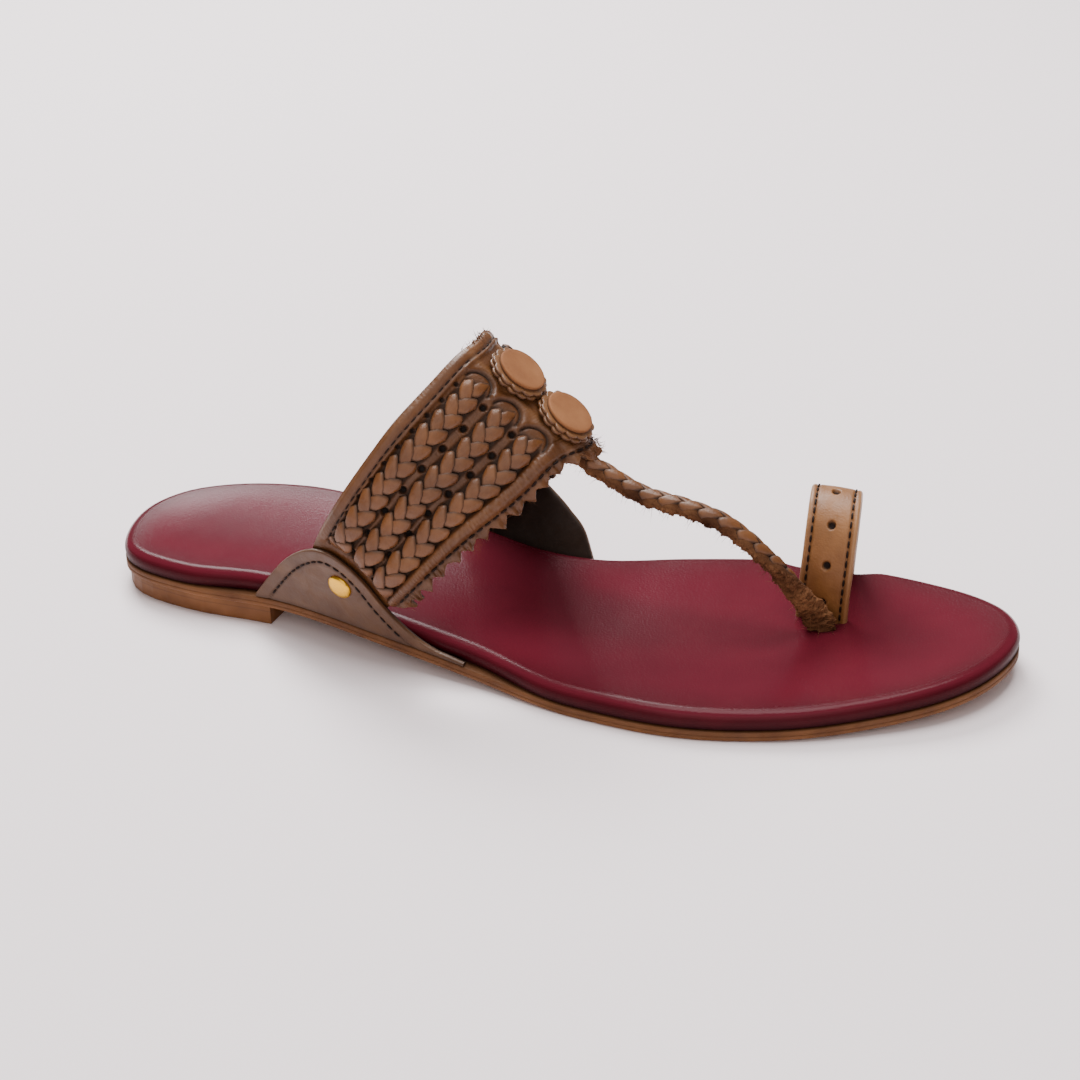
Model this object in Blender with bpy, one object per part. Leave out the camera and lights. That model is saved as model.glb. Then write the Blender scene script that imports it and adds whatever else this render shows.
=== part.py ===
"""Right kolhapuri sandal with a braided instep band, a toe cord and a toe ring.

The frame is the shoe's own: +X points to the toe, +Y to the big toe's side and +Z up.
The origin is on the floor under the middle of the heel.  All sizes are in metres.
"""

import math

import bmesh
import bpy
import numpy as np
from mathutils import Vector

# Driving sizes of the sole
SHOE_LENGTH = 0.250
BALL_WIDTH = 0.086
HEEL_WIDTH = 0.060
HEEL_BEHIND = 0.030
OUTSOLE_THICK = 0.0028
INSOLE_THICK = 0.0049
HEEL_BLOCK_HEIGHT = 0.0057
HEEL_BLOCK_FRONT = 0.025
HEEL_BLOCK_INSET = 0.0016
HEEL_BLOCK_BEVEL = 0.0003
HEEL_NARROW = 0.14
TOE_SPRING = 0.0050
INSOLE_ROUND = 0.0026
INSOLE_DISH = 0.0009
SOLE_BEVEL = 0.0004
SEAM_GAP = 0.0003
REBATE_SOFT = 0.0040
SPINE_BEHIND = 0.0220
SPINE_AHEAD = 0.0300

# Driving sizes of the upper
INSTEP_HEIGHT = 0.0800
CREST_FRONT_HEIGHT = 0.0560
CREST_REAR_X = 0.0773
CREST_FRONT_X = 0.1078
CREST_Y = 0.0010
BAND_FOOT_REAR_X = 0.0400
BAND_FOOT_FRONT_X = 0.0600
BAND_FOOT_LIFT = 0.0010
BAND_SPAN = 0.0350
BAND_WALL = 0.0022
BRAID_WIDTH = 0.0070
BRAID_RISE = 0.0020
BRAID_PITCH = 0.0055
BRAID_PACKING = 0.48
BAND_CLEAR = 0.25
BAND_CREST = 0.90
WING_MARGIN = 0.0030
RIM_RISE = 0.0006
WELT_RISE = 0.0012
EDGE_STEP = 0.0008
SCALLOP_DEPTH = 0.0024
SCALLOP_MARGIN = 0.0012
SCALLOP_COUNT = 46

# Driving sizes of the wings
WING_HEIGHT = 0.0230
WING_WALL = 0.0018
WING_LENGTH = 0.0655
WING_REAR_X = 0.0220
WING_LEAN_OUTER = 0.0055
WING_LEAN_INNER = 0.0110
INNER_SHIFT = 0.0115
RIVET_ALONG = 0.46
RIVET_UP = 0.56
RIVET_HEAD = 0.0070
RIVET_HEAD_THICK = 0.0011
RIVET_SHANK = 0.0030

# Driving sizes of the rosettes, the cord and the toe ring
ROSETTE_WIDTH = 0.0162
ROSETTE_THICK = 0.0020
ROSETTE_LOBES = 14
ROSETTE_LOBE_DEPTH = 0.0005
ROSETTE_PLACES = (("rear", 0.365), ("front", 0.790))
CAP_WIDTH = 0.0140
CAP_THICK = 0.0012
CORD_WIDTH = 0.0066
CORD_THICK = 0.0040
CORD_TUCKED_THICK = 0.0028
CORD_TUCK_LENGTH = 0.0120
CORD_TUCK = 0.0073
CORD_START_RISE = 0.0006
CORD_END_X = 0.1698
CORD_END_Y = 0.0109
CORD_END_Z = 0.0046
CORD_LOBE = 0.0005
CORD_SLIM = 0.18
CORD_PITCH = 0.0060
RING_WIDTH = 0.0140
RING_THICK = 0.0022
RING_X = 0.1675
RING_TOP = 0.0385
RING_OUTER_Y = 0.0156
RING_SKEW = 0.0060
SLOT_GAP = 0.0005

SOLE_STEPS = 26
CORD_STEPS = 52
RING_STEPS = 28
SOLE_WAIST = 0.075
SOLE_FLAT = 0.150
SPRING_START = 0.185

# Each row: place along the sole, middle, share of the heel's and of the ball's half width
SOLE_COLUMNS = ("along", "middle", "heel", "ball")
SOLE_ROWS = (
    (0.000, 0.005, 0.00, 0.00),
    (0.035, -0.015, 0.69, 0.00),
    (0.120, 0.010, 0.96, 0.00),
    (0.240, 0.025, 1.00, 0.00),
    (0.360, -0.030, 0.65, 0.27),
    (0.480, -0.070, 0.30, 0.52),
    (0.600, -0.045, 0.00, 0.90),
    (0.700, 0.000, 0.00, 1.00),
    (0.800, 0.050, 0.00, 0.95),
    (0.900, 0.100, 0.00, 0.74),
    (0.965, 0.130, 0.00, 0.48),
    (1.000, 0.165, 0.00, 0.00),
)

# Each row: place from the band's foot to its crest, then shares of the rails' reach and rise
RAIL_COLUMNS = ("climb", "rear_x", "rear_z", "front_x", "front_z", "outward")
RAIL_ROWS = (
    (0.00, 0.000, 0.000, 0.000, 0.000, 1.00),
    (0.16, 0.102, 0.228, 0.108, 0.073, 1.00),
    (0.38, 0.364, 0.498, 0.288, 0.298, 0.97),
    (0.60, 0.657, 0.758, 0.507, 0.558, 0.80),
    (0.78, 0.850, 0.905, 0.755, 0.803, 0.49),
    (0.90, 0.963, 0.989, 0.898, 0.978, 0.26),
    (1.00, 1.000, 1.000, 1.000, 1.000, 0.00),
)

# Each row: place along a wing, and the outer and inner wing's heights as shares of the full one
WING_COLUMNS = ("along", "outer", "inner")
WING_ROWS = (
    (0.00, 0.06, 0.06),
    (0.08, 0.35, 0.24),
    (0.17, 0.64, 0.46),
    (0.27, 0.87, 0.69),
    (0.39, 1.00, 0.90),
    (0.49, 0.94, 0.99),
    (0.58, 0.75, 1.00),
    (0.66, 0.46, 0.94),
    (0.76, 0.21, 0.81),
    (0.87, 0.08, 0.61),
    (0.95, 0.06, 0.38),
    (1.00, 0.05, 0.07),
)

# The middle of each braid and its top, as shares of the band's width and climb
BRAID_COLUMNS = ("across", "top")
BRAID_ROWS = (
    (0.26, 0.87),
    (0.54, 0.88),
    (0.81, 0.88),
)

# Each row: the cord's route from under the crest to the toe slot as shares of its reach
CORD_COLUMNS = ("along", "inward", "height")
CORD_ROWS = (
    (0.000, 0.000, 1.000),
    (0.079, 0.000, 0.917),
    (0.130, 0.000, 0.865),
    (0.189, -0.010, 0.833),
    (0.255, -0.020, 0.788),
    (0.329, -0.020, 0.750),
    (0.397, -0.030, 0.731),
    (0.460, -0.020, 0.721),
    (0.527, -0.010, 0.706),
    (0.589, 0.010, 0.685),
    (0.646, 0.040, 0.656),
    (0.694, 0.091, 0.613),
    (0.743, 0.141, 0.558),
    (0.789, 0.232, 0.492),
    (0.835, 0.343, 0.425),
    (0.900, 0.576, 0.292),
    (0.938, 0.727, 0.212),
    (0.974, 0.889, 0.119),
    (1.000, 1.000, 0.000),
)

# Each row: the toe ring's middle line as shares of its span and of its rise above the sole
RING_COLUMNS = ("across", "up")
RING_ROWS = (
    (0.010, 0.000),
    (0.000, 0.150),
    (-0.010, 0.360),
    (0.030, 0.610),
    (0.165, 0.850),
    (0.390, 0.990),
    (0.600, 0.995),
    (0.800, 0.870),
    (0.945, 0.640),
    (1.010, 0.360),
    (1.005, 0.150),
    (1.000, 0.000),
)


def column(rows, names, name):
    """Return one named column of a table as an array."""
    return np.array([row[names.index(name)] for row in rows], float)


def smooth_between(known, values, at):
    """Run a smooth cubic through the table's rows and read it at the given places."""
    slopes = np.gradient(values, known)
    row = np.clip(np.searchsorted(known, at) - 1, 0, len(known) - 2)
    step = known[row + 1] - known[row]
    share = (at - known[row]) / step
    start = (2 * share**3 - 3 * share**2 + 1) * values[row]
    start += (share**3 - 2 * share**2 + share) * step * slopes[row]
    end = (3 * share**2 - 2 * share**3) * values[row + 1]
    end += (share**3 - share**2) * step * slopes[row + 1]
    return start + end


def ease(share):
    """Rise smoothly from 0 to 1 while the share goes from 0 to 1."""
    held = np.clip(share, 0.0, 1.0)
    return held * held * (3.0 - 2.0 * held)


def round_place(along):
    """Turn a share of the sole's length into an even place on its rounded outline."""
    return np.arccos(1.0 - 2.0 * np.clip(along, 0.0, 1.0)) / math.pi


def sole_middle(x):
    """Return the sole's middle line at a place along the shoe."""
    rows = round_place(column(SOLE_ROWS, SOLE_COLUMNS, "along"))
    middle = column(SOLE_ROWS, SOLE_COLUMNS, "middle") * BALL_WIDTH
    return smooth_between(rows, middle, round_place((x + HEEL_BEHIND) / SHOE_LENGTH))


def sole_half(x):
    """Return the sole's half width at a place along the shoe."""
    rows = round_place(column(SOLE_ROWS, SOLE_COLUMNS, "along"))
    half = column(SOLE_ROWS, SOLE_COLUMNS, "heel") * HEEL_WIDTH / 2.0
    half = half + column(SOLE_ROWS, SOLE_COLUMNS, "ball") * BALL_WIDTH / 2.0
    return smooth_between(rows, half, round_place((x + HEEL_BEHIND) / SHOE_LENGTH))


def sole_edge(x, side):
    """Return the sole edge's place across the shoe, on side -1 outer or +1 inner."""
    return sole_middle(x) + side * sole_half(x)


def sole_bottom(x):
    """Return the height of the outsole's underside: heel, arch, flat ball and toe spring."""
    along = x + HEEL_BEHIND
    heel = HEEL_BLOCK_HEIGHT + SEAM_GAP
    arch = heel * (1.0 - ease((along - SOLE_WAIST) / (SOLE_FLAT - SOLE_WAIST)))
    spring = np.clip((along - SPRING_START) / (SHOE_LENGTH - SPRING_START), 0.0, 1.0)
    return arch + TOE_SPRING * spring**2


def outsole_top(x):
    """Return the height of the outsole's upper face."""
    return sole_bottom(x) + OUTSOLE_THICK


def insole_top(x):
    """Return the height of the insole's rim."""
    return outsole_top(x) + SEAM_GAP + INSOLE_THICK


def make_material(name, colour, roughness, metallic=0.0):
    """Make one plain surface with the colour of its leather or metal."""
    material = bpy.data.materials.new(name)
    material.use_nodes = True
    shader = material.node_tree.nodes["Principled BSDF"]
    shader.inputs["Base Color"].default_value = (*colour, 1.0)
    shader.inputs["Roughness"].default_value = roughness
    shader.inputs["Metallic"].default_value = metallic
    material.diffuse_color = (*colour, 1.0)
    return material


def make_object(name, points, faces, material, sharp_angle=40.0):
    """Make one closed object, join its doubled points and turn its faces out."""
    mesh = bpy.data.meshes.new(name)
    mesh.from_pydata([tuple(map(float, point)) for point in points], [], faces)
    work = bmesh.new()
    work.from_mesh(mesh)
    bmesh.ops.remove_doubles(work, verts=work.verts, dist=0.000002)
    bmesh.ops.dissolve_degenerate(work, edges=work.edges, dist=0.000001)
    bmesh.ops.recalc_face_normals(work, faces=work.faces)
    work.to_mesh(mesh)
    work.free()
    mesh.shade_smooth()
    mesh.set_sharp_from_angle(angle=math.radians(sharp_angle))
    made = bpy.data.objects.new(name, mesh)
    made.data.materials.append(material)
    bpy.context.collection.objects.link(made)
    return made


def strip_faces(first, second, count, closed=True):
    """Join two rows of points of equal count with four-sided faces."""
    last = count if closed else count - 1
    return [
        (first + i, first + (i + 1) % count, second + (i + 1) % count, second + i)
        for i in range(last)
    ]


def cut_with(body, points, faces, name):
    """Cut a closed shape out of a body, exactly."""
    cutter = make_object(name, points, faces, body.data.materials[0])
    cutter.hide_render = True
    cutter.display_type = "WIRE"
    cut = body.modifiers.new(name, "BOOLEAN")
    cut.operation = "DIFFERENCE"
    cut.solver = "EXACT"
    cut.object = cutter


def rebate_stretches():
    """Return each stretch where the insole steps in: its side, start, end and depth."""
    reach = RING_WIDTH / 2.0 + SLOT_GAP
    leg = RING_X - RING_SKEW
    stretches = [(1, leg - reach, leg + reach, RING_THICK + SLOT_GAP)]
    for side in (-1, 1):
        start = wing_start(side) - SEAM_GAP
        end = wing_start(side) + WING_LENGTH + SEAM_GAP
        stretches.append((side, start, end, WING_WALL + SEAM_GAP))
    return stretches


def sole_stations():
    """Return places along the sole: close at its round ends, and one at each step's edges."""
    turn = np.linspace(0.0, 1.0, SOLE_STEPS + 1)
    x = SHOE_LENGTH * (1.0 - np.cos(math.pi * turn)) / 2.0 - HEEL_BEHIND
    edges = []
    for side, start, end, depth in rebate_stretches():
        edges += [start - REBATE_SOFT, start, end, end + REBATE_SOFT]
    apart = np.abs(x[:, None] - np.array(edges)[None]).min(1)
    return np.sort(np.concatenate([x[apart > 0.0015], edges]))


def sole_loop():
    """Return the outline's points from the heel round the outer side to the toe and back."""
    x = sole_stations()
    outer = np.stack([x, sole_edge(x, -1)], 1)
    inner = np.stack([x, sole_edge(x, 1)], 1)[::-1]
    sides = np.concatenate([-np.ones(len(x) - 1), np.ones(len(x) - 1)])
    return np.concatenate([outer[:-1], inner[:-1]]), sides


def loop_normals(loop):
    """Return the outward direction at each point of a loop that runs this way round."""
    along = np.roll(loop, -1, 0) - np.roll(loop, 1, 0)
    along /= np.linalg.norm(along, axis=1)[:, None]
    return np.stack([along[:, 1], -along[:, 0]], 1)


def wing_start(side):
    """Return where a wing starts behind: the inner one stands further forward."""
    return WING_REAR_X + (INNER_SHIFT if side > 0 else 0.0)


def insole_rebate(x, sides):
    """Return how far the insole steps in where wings and toe ring pass its side."""
    depths = np.zeros_like(x)
    for side, start, end, depth in rebate_stretches():
        rise = ease((x - start) / REBATE_SOFT + 1.0) * ease((end - x) / REBATE_SOFT + 1.0)
        depths = np.maximum(depths, np.where(sides == side, depth * rise, 0.0))
    return depths


def plate(name, levels, cap_heights, material, step_in):
    """Make one layer of the sole from rings along its outline and domed caps.

    Each level is an inset from the outline and a function of x that gives its height.
    The caps close on the sole's middle line.
    """
    loop, sides = sole_loop()
    normals = loop_normals(loop)
    count = len(loop)
    toe_x = SHOE_LENGTH - HEEL_BEHIND
    spine_x = np.clip(loop[:, 0], SPINE_BEHIND - HEEL_BEHIND, toe_x - SPINE_AHEAD)
    spine = np.stack([spine_x, sole_middle(spine_x)], 1)
    rows = []
    low_ring = loop - normals * (levels[0][0] + step_in(loop[:, 0], sides))[:, None]
    high_ring = loop - normals * (levels[-1][0] + step_in(loop[:, 0], sides))[:, None]
    shares = (0.0, 0.4, 0.75)
    for share in shares:
        ring = spine + (low_ring - spine) * share
        rows.append((ring, cap_heights[0](ring[:, 0], share)))
    for inset, height in levels:
        ring = loop - normals * (inset + step_in(loop[:, 0], sides))[:, None]
        rows.append((ring, height(loop[:, 0])))
    for share in shares[::-1]:
        ring = spine + (high_ring - spine) * share
        rows.append((ring, cap_heights[1](ring[:, 0], share)))
    points = np.concatenate([np.column_stack([ring, height]) for ring, height in rows])
    faces = []
    for row in range(len(rows) - 1):
        faces += strip_faces(row * count, (row + 1) * count, count)
    return make_object(name, points, faces, material)


def make_outsole(material):
    """Make the thin leather outsole with its arch, flat ball and toe spring."""
    levels = (
        (SOLE_BEVEL, sole_bottom),
        (0.0, lambda x: sole_bottom(x) + SOLE_BEVEL),
        (0.0, outsole_top),
    )
    caps = (lambda x, share: sole_bottom(x), lambda x, share: outsole_top(x))
    return plate("outsole", levels, caps, material, lambda x, sides: 0.0 * x)


def make_insole(material):
    """Make the padded insole: a rounded top edge round a shallow dish, with a toe slot."""
    bottom = lambda x: outsole_top(x) + SEAM_GAP
    levels = [(SOLE_BEVEL, bottom), (0.0, lambda x: bottom(x) + SOLE_BEVEL)]
    for turn in (0.0, 30.0, 60.0, 90.0):
        inset = INSOLE_ROUND * (1.0 - math.cos(math.radians(turn)))
        drop = INSOLE_ROUND * (1.0 - math.sin(math.radians(turn)))
        levels.append((inset, lambda x, drop=drop: insole_top(x) - drop))
    caps = (
        lambda x, share: bottom(x),
        lambda x, share: insole_top(x) - INSOLE_DISH * (1.0 - share**2),
    )
    insole = plate("insole", levels, caps, material, insole_rebate)
    cut_box(insole, toe_slot(), "toe_slot_cutter")
    return insole


def toe_slot():
    """Return the low and high corner of the slot for the cord's end and the ring's foot."""
    low_y = CORD_END_Y - CORD_WIDTH / 2.0 - 2.0 * SLOT_GAP
    high_y = RING_OUTER_Y + RING_THICK / 2.0 + 2.0 * SLOT_GAP
    low_x = RING_X - RING_WIDTH / 2.0 - SLOT_GAP
    high_x = max(RING_X + RING_WIDTH / 2.0, CORD_END_X + CORD_WIDTH / 2.0) + SLOT_GAP
    bottom = outsole_top(RING_X) - SLOT_GAP
    return (low_x, low_y, bottom), (high_x, high_y, insole_top(RING_X) + INSOLE_THICK)


def cut_box(body, corners, name):
    """Cut a straight box out of a body."""
    (x0, y0, z0), (x1, y1, z1) = corners
    points = [(x, y, z) for z in (z0, z1) for x, y in ((x0, y0), (x1, y0), (x1, y1), (x0, y1))]
    faces = [(3, 2, 1, 0), (4, 5, 6, 7)] + strip_faces(0, 4, 4)
    cut_with(body, points, faces, name)


def make_heel_block(material):
    """Make the low heel: a flat block inside the outline with a straight front."""
    steps = 12
    turn = np.linspace(0.0, 1.0, steps + 1)
    back = HEEL_BLOCK_INSET - HEEL_BEHIND
    x = back + (HEEL_BLOCK_FRONT - back) * (1.0 - np.cos(math.pi * turn / 2.0))
    outer = sole_edge(x, -1) + HEEL_BLOCK_INSET
    inner = sole_edge(x, 1) - HEEL_BLOCK_INSET
    middle = (outer + inner) / 2.0
    narrow = HEEL_NARROW * (1.0 - np.sqrt(np.clip(turn * 4.0, 0.0, 1.0)))
    half = (inner - outer) / 2.0 * np.where(turn > 0.0, 1.0 - narrow, 0.0)
    loop = np.concatenate([
        np.stack([x, middle - half], 1),
        np.stack([x, middle + half], 1)[:0:-1],
    ])
    count = len(loop)
    levels = ((HEEL_BLOCK_BEVEL, 0.0), (0.0, HEEL_BLOCK_BEVEL), (0.0, HEEL_BLOCK_HEIGHT))
    centre_x = (back + HEEL_BLOCK_FRONT) / 2.0
    centre = np.array([centre_x, sole_middle(np.array([centre_x]))[0]])
    spread = loop - centre
    size = np.linalg.norm(spread, axis=1)[:, None]
    points = []
    for inset, height in levels:
        ring = centre + spread * (1.0 - inset / size)
        points.append(np.column_stack([ring, np.full(count, height)]))
    faces = [tuple(range(count))[::-1], tuple(range(2 * count, 3 * count))]
    faces += strip_faces(0, count, count) + strip_faces(count, 2 * count, count)
    return make_object("heel_block", np.concatenate(points), faces, material)


def wing_lean(side):
    """Return how far a wing leans out at its full height."""
    return WING_LEAN_OUTER if side < 0 else WING_LEAN_INNER


def wing_face(x, z, side):
    """Return the wing's outer face: it rises from the sole's edge and leans outward."""
    up = (z - outsole_top(x)) / WING_HEIGHT
    return sole_edge(x, side) + side * wing_lean(side) * np.sign(up) * np.abs(up) ** 1.15


def wing_top(x, side):
    """Return the height of a wing's bell-shaped edge above the outsole."""
    along = (x - wing_start(side)) / WING_LENGTH
    rows = column(WING_ROWS, WING_COLUMNS, "along")
    shares = column(WING_ROWS, WING_COLUMNS, "outer" if side < 0 else "inner")
    return WING_HEIGHT * smooth_between(rows, shares, np.clip(along, 0.0, 1.0))


def rivet_axis(side):
    """Return the rivet's place on the wing's outer face and its outward direction."""
    x = wing_start(side) + RIVET_ALONG * WING_LENGTH
    z = outsole_top(x) + RIVET_UP * WING_HEIGHT
    step = 0.0005
    place = Vector((x, wing_face(x, z, side), z))
    ahead = Vector((x + step, wing_face(x + step, z, side), z)) - place
    above = Vector((x, wing_face(x, z + step, side), z + step)) - place
    out = ahead.cross(above) * -side
    return place, out.normalized()


def rod(start, out, stations, sides=20):
    """Return the points and faces of a turned shape: radius and reach of each station."""
    turn = out.to_track_quat("Z", "X").to_matrix()
    points = []
    for radius, reach in stations:
        for step in range(sides):
            angle = 2.0 * math.pi * step / sides
            local = Vector((radius * math.cos(angle), radius * math.sin(angle), reach))
            points.append(start + turn @ local)
    faces = [tuple(range(sides))[::-1]]
    faces.append(tuple(range((len(stations) - 1) * sides, len(stations) * sides)))
    for row in range(len(stations) - 1):
        faces += strip_faces(row * sides, (row + 1) * sides, sides)
    return points, faces


def make_wing(name, side, material):
    """Make one bell-shaped leather wing, standing on the outsole's edge."""
    steps = 30
    rows = 7
    x = wing_start(side) + WING_LENGTH * np.linspace(0.0, 1.0, steps)
    base = outsole_top(x) + SEAM_GAP
    points = []
    for wall in (0.0, WING_WALL):
        for row in range(rows):
            z = base + (wing_top(x, side) - SEAM_GAP) * row / (rows - 1)
            y = wing_face(x, z, side) - side * wall
            points.append(np.stack([x, y, z], 1))
    faces = []
    outer = [row * steps for row in range(rows)]
    inner = [(rows + row) * steps for row in range(rows)]
    for row in range(rows - 1):
        faces += strip_faces(outer[row], outer[row + 1], steps, closed=False)
        faces += strip_faces(inner[row + 1], inner[row], steps, closed=False)
        faces.append((outer[row], outer[row + 1], inner[row + 1], inner[row]))
        end = steps - 1
        faces.append((outer[row + 1] + end, outer[row] + end, inner[row] + end, inner[row + 1] + end))
    faces += strip_faces(inner[0], outer[0], steps, closed=False)
    faces += strip_faces(outer[-1], inner[-1], steps, closed=False)
    wing = make_object(name, np.concatenate(points), faces, material)
    cut_rivet_hole(wing, side, name + "_hole_cutter")
    return wing


def cut_rivet_hole(body, side, name):
    """Cut the rivet's hole through a wing or the band."""
    place, out = rivet_axis(side)
    radius = RIVET_SHANK / 2.0 + SEAM_GAP
    points, faces = rod(place, out, ((radius, -0.009), (radius, 0.004)))
    cut_with(body, points, faces, name)


def make_rivet(name, side, material):
    """Make one rivet: a low head outside the wing, a shank and a burr inside the band."""
    place, out = rivet_axis(side)
    head = RIVET_HEAD / 2.0
    shank = RIVET_SHANK / 2.0
    inside = -(WING_WALL + BAND_WALL + 3.0 * SEAM_GAP)
    stations = (
        (head * 0.72, inside - 0.0008),
        (head * 0.80, inside - 0.0005),
        (head * 0.80, inside),
        (shank, inside),
        (shank, SEAM_GAP),
        (head, SEAM_GAP),
        (head, SEAM_GAP + RIVET_HEAD_THICK * 0.45),
        (head * 0.80, SEAM_GAP + RIVET_HEAD_THICK * 0.9),
        (head * 0.30, SEAM_GAP + RIVET_HEAD_THICK),
    )
    points, faces = rod(place, out, stations)
    return make_object(name, points, faces, material, sharp_angle=50.0)


def band_rails(climb, side):
    """Return the band's rear and front edge lines for one side, and their outward share."""
    rows = column(RAIL_ROWS, RAIL_COLUMNS, "climb")
    whole = np.concatenate([rows, 2.0 - rows[-2::-1]])

    def read(name, start, end):
        shares = column(RAIL_ROWS, RAIL_COLUMNS, name)
        both = np.concatenate([shares, shares[-2::-1]])
        return start + (end - start) * smooth_between(whole, both, climb)

    shares = column(RAIL_ROWS, RAIL_COLUMNS, "outward")
    outward = smooth_between(whole, np.concatenate([shares, -shares[-2::-1]]), climb)
    shift = INNER_SHIFT * (1.0 - ease(climb / 0.9)) * (side > 0)
    rear_x = read("rear_x", BAND_FOOT_REAR_X, CREST_REAR_X) + shift
    front_x = read("front_x", BAND_FOOT_FRONT_X, CREST_FRONT_X) + shift
    rear_low = insole_top(BAND_FOOT_REAR_X) + BAND_FOOT_LIFT
    front_low = insole_top(BAND_FOOT_FRONT_X) + BAND_FOOT_LIFT
    rear_z = read("rear_z", rear_low, INSTEP_HEIGHT)
    front_z = read("front_z", front_low, CREST_FRONT_HEIGHT)
    y = CREST_Y + side * outward * (BAND_SPAN - side * CREST_Y)
    return rear_x, rear_z, front_x, front_z, y


def band_surface(climb, across, side):
    """Return points of the band's plain outer face; low down it lies inside the wing."""
    rear_x, rear_z, front_x, front_z, y = band_rails(climb, side)
    x = rear_x + (front_x - rear_x) * across
    z = rear_z + (front_z - rear_z) * across
    wing_edge = outsole_top(x) + WING_HEIGHT
    wing_inside = wing_face(x, np.minimum(z, wing_edge), side) - side * (WING_WALL + SEAM_GAP)
    near_wing = 1.0 - ease((climb - BAND_CLEAR) / BAND_CLEAR)
    y = y + (wing_inside - y) * near_wing
    return np.stack([x, side * np.minimum(side * y, side * wing_inside), z], -1)


def band_outward(climb, across, side):
    """Return the band's outward direction from small steps along its face."""
    step = 0.002
    along = band_surface(climb + step, across, side) - band_surface(climb - step, across, side)
    over = band_surface(climb, across + step, side) - band_surface(climb, across - step, side)
    out = np.cross(along, over) * side
    return out / np.linalg.norm(out, axis=-1)[..., None]


def braid_height(place, pitch_share):
    """Return the height of a plaited strip: lobes that lean to each side in turn."""
    lean = 0.5 * np.abs(place) * np.sign(place)
    wave = 0.5 + 0.5 * np.cos(2.0 * math.pi * (pitch_share + 0.25 * np.sign(place) + 0.5 * lean))
    return np.sqrt(np.clip(1.0 - 0.8 * place**2, 0.0, 1.0)) * (0.62 + 0.38 * wave)


def wing_clearance(points, side):
    """Return 0 for points below the wing's edge, rising to 1 over a margin above it."""
    x = points[..., 0]
    covered = (x > wing_start(side)) & (x < wing_start(side) + WING_LENGTH)
    edge = outsole_top(x) + np.where(covered, wing_top(x, side), 0.0)
    return ease((points[..., 2] - edge - 4.0 * SEAM_GAP) / WING_MARGIN)


def band_section(climb, width):
    """Return places across the band and the rise of rim, braids and welt at each one."""
    rows_across = [row[BRAID_COLUMNS.index("across")] for row in BRAID_ROWS]
    spacing = rows_across[1] - rows_across[0]
    half = min(BRAID_WIDTH / 2.0 / width, BRAID_PACKING * spacing)
    first = rows_across[0] - half
    places = [0.0, 0.45 * first]
    rises = [RIM_RISE, RIM_RISE]
    length = climb * 0.075 / BRAID_PITCH
    for middle, top in BRAID_ROWS:
        raised = float(ease((top - climb) / 0.03))
        for place in (-1.0, -0.72, 0.0, 0.72, 1.0):
            places.append(middle + place * half)
            lobe = braid_height(np.array(place), length)
            rises.append(0.0 if abs(place) == 1.0 else BRAID_RISE * float(lobe) * raised)
    last = rows_across[-1] + half
    clear_of_crest = float(ease((BAND_CREST - climb) / 0.06))
    for share, rise in ((0.25, 0.75), (0.55, 1.0), (0.85, 0.5)):
        places.append(last + (1.0 - last) * share)
        rises.append(WELT_RISE * rise * clear_of_crest)
    places.append(1.0)
    rises.append(-EDGE_STEP)
    return np.array(places), np.array(rises)


def make_band(material):
    """Make the instep band: one wall with three raised braids a side and a toothed edge."""
    climbs = np.linspace(0.0, 1.0, SCALLOP_COUNT + 1)
    stations = [(climb, -1) for climb in climbs] + [(climb, 1) for climb in climbs[-2::-1]]
    outer = []
    inner = []
    for index, (climb, side) in enumerate(stations):
        ends = band_surface(np.full(2, climb), np.array([0.0, 1.0]), side)
        width = float(np.linalg.norm(ends[1] - ends[0]))
        places, rises = band_section(climb, width)
        tooth = SCALLOP_MARGIN + SCALLOP_DEPTH * (index % 2)
        clear = float(wing_clearance(ends[1], side))
        places = np.append(places, 1.0 + tooth * clear / width)
        rises = np.append(rises, rises[-1])
        at = np.full(len(places), climb)
        face = band_surface(at, places, side)
        out = band_outward(at, places, side)
        rises = rises * wing_clearance(face, side)
        outer.append(face + out * rises[:, None])
        picks = np.array([0, 9, len(places) - 1])
        inner.append(face[picks] - out[picks] * BAND_WALL)
    count = len(places)
    start = len(stations) * count
    points = np.concatenate(outer + inner)
    faces = []
    for row in range(len(stations) - 1):
        low = row * count
        faces += strip_faces(low, low + count, count, closed=False)
        back = start + row * 3
        faces += [
            (back, back + 3, back + 4, back + 1),
            (back + 1, back + 4, back + 5, back + 2),
            (low, low + count, back + 3, back),
            (low + count - 1, back + 2, back + 5, low + 2 * count - 1),
        ]
    for row in (0, len(stations) - 1):
        ring = list(range(row * count, (row + 1) * count))
        ring += [start + row * 3 + 2, start + row * 3 + 1, start + row * 3]
        faces.append(tuple(ring))
    band = make_object("upper_band", points, faces, material, sharp_angle=50.0)
    for side in (-1, 1):
        cut_rivet_hole(band, side, "band_hole_cutter")
    return band


def crest_place(share):
    """Return a point on the crest's middle line and the crest's outward direction."""
    at = np.array([1.0])
    place = Vector(band_surface(at, np.array([share]), -1)[0])
    out = Vector(band_outward(at - 0.004, np.array([share]), -1)[0])
    out.y = 0.0
    return place, out.normalized()


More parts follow.
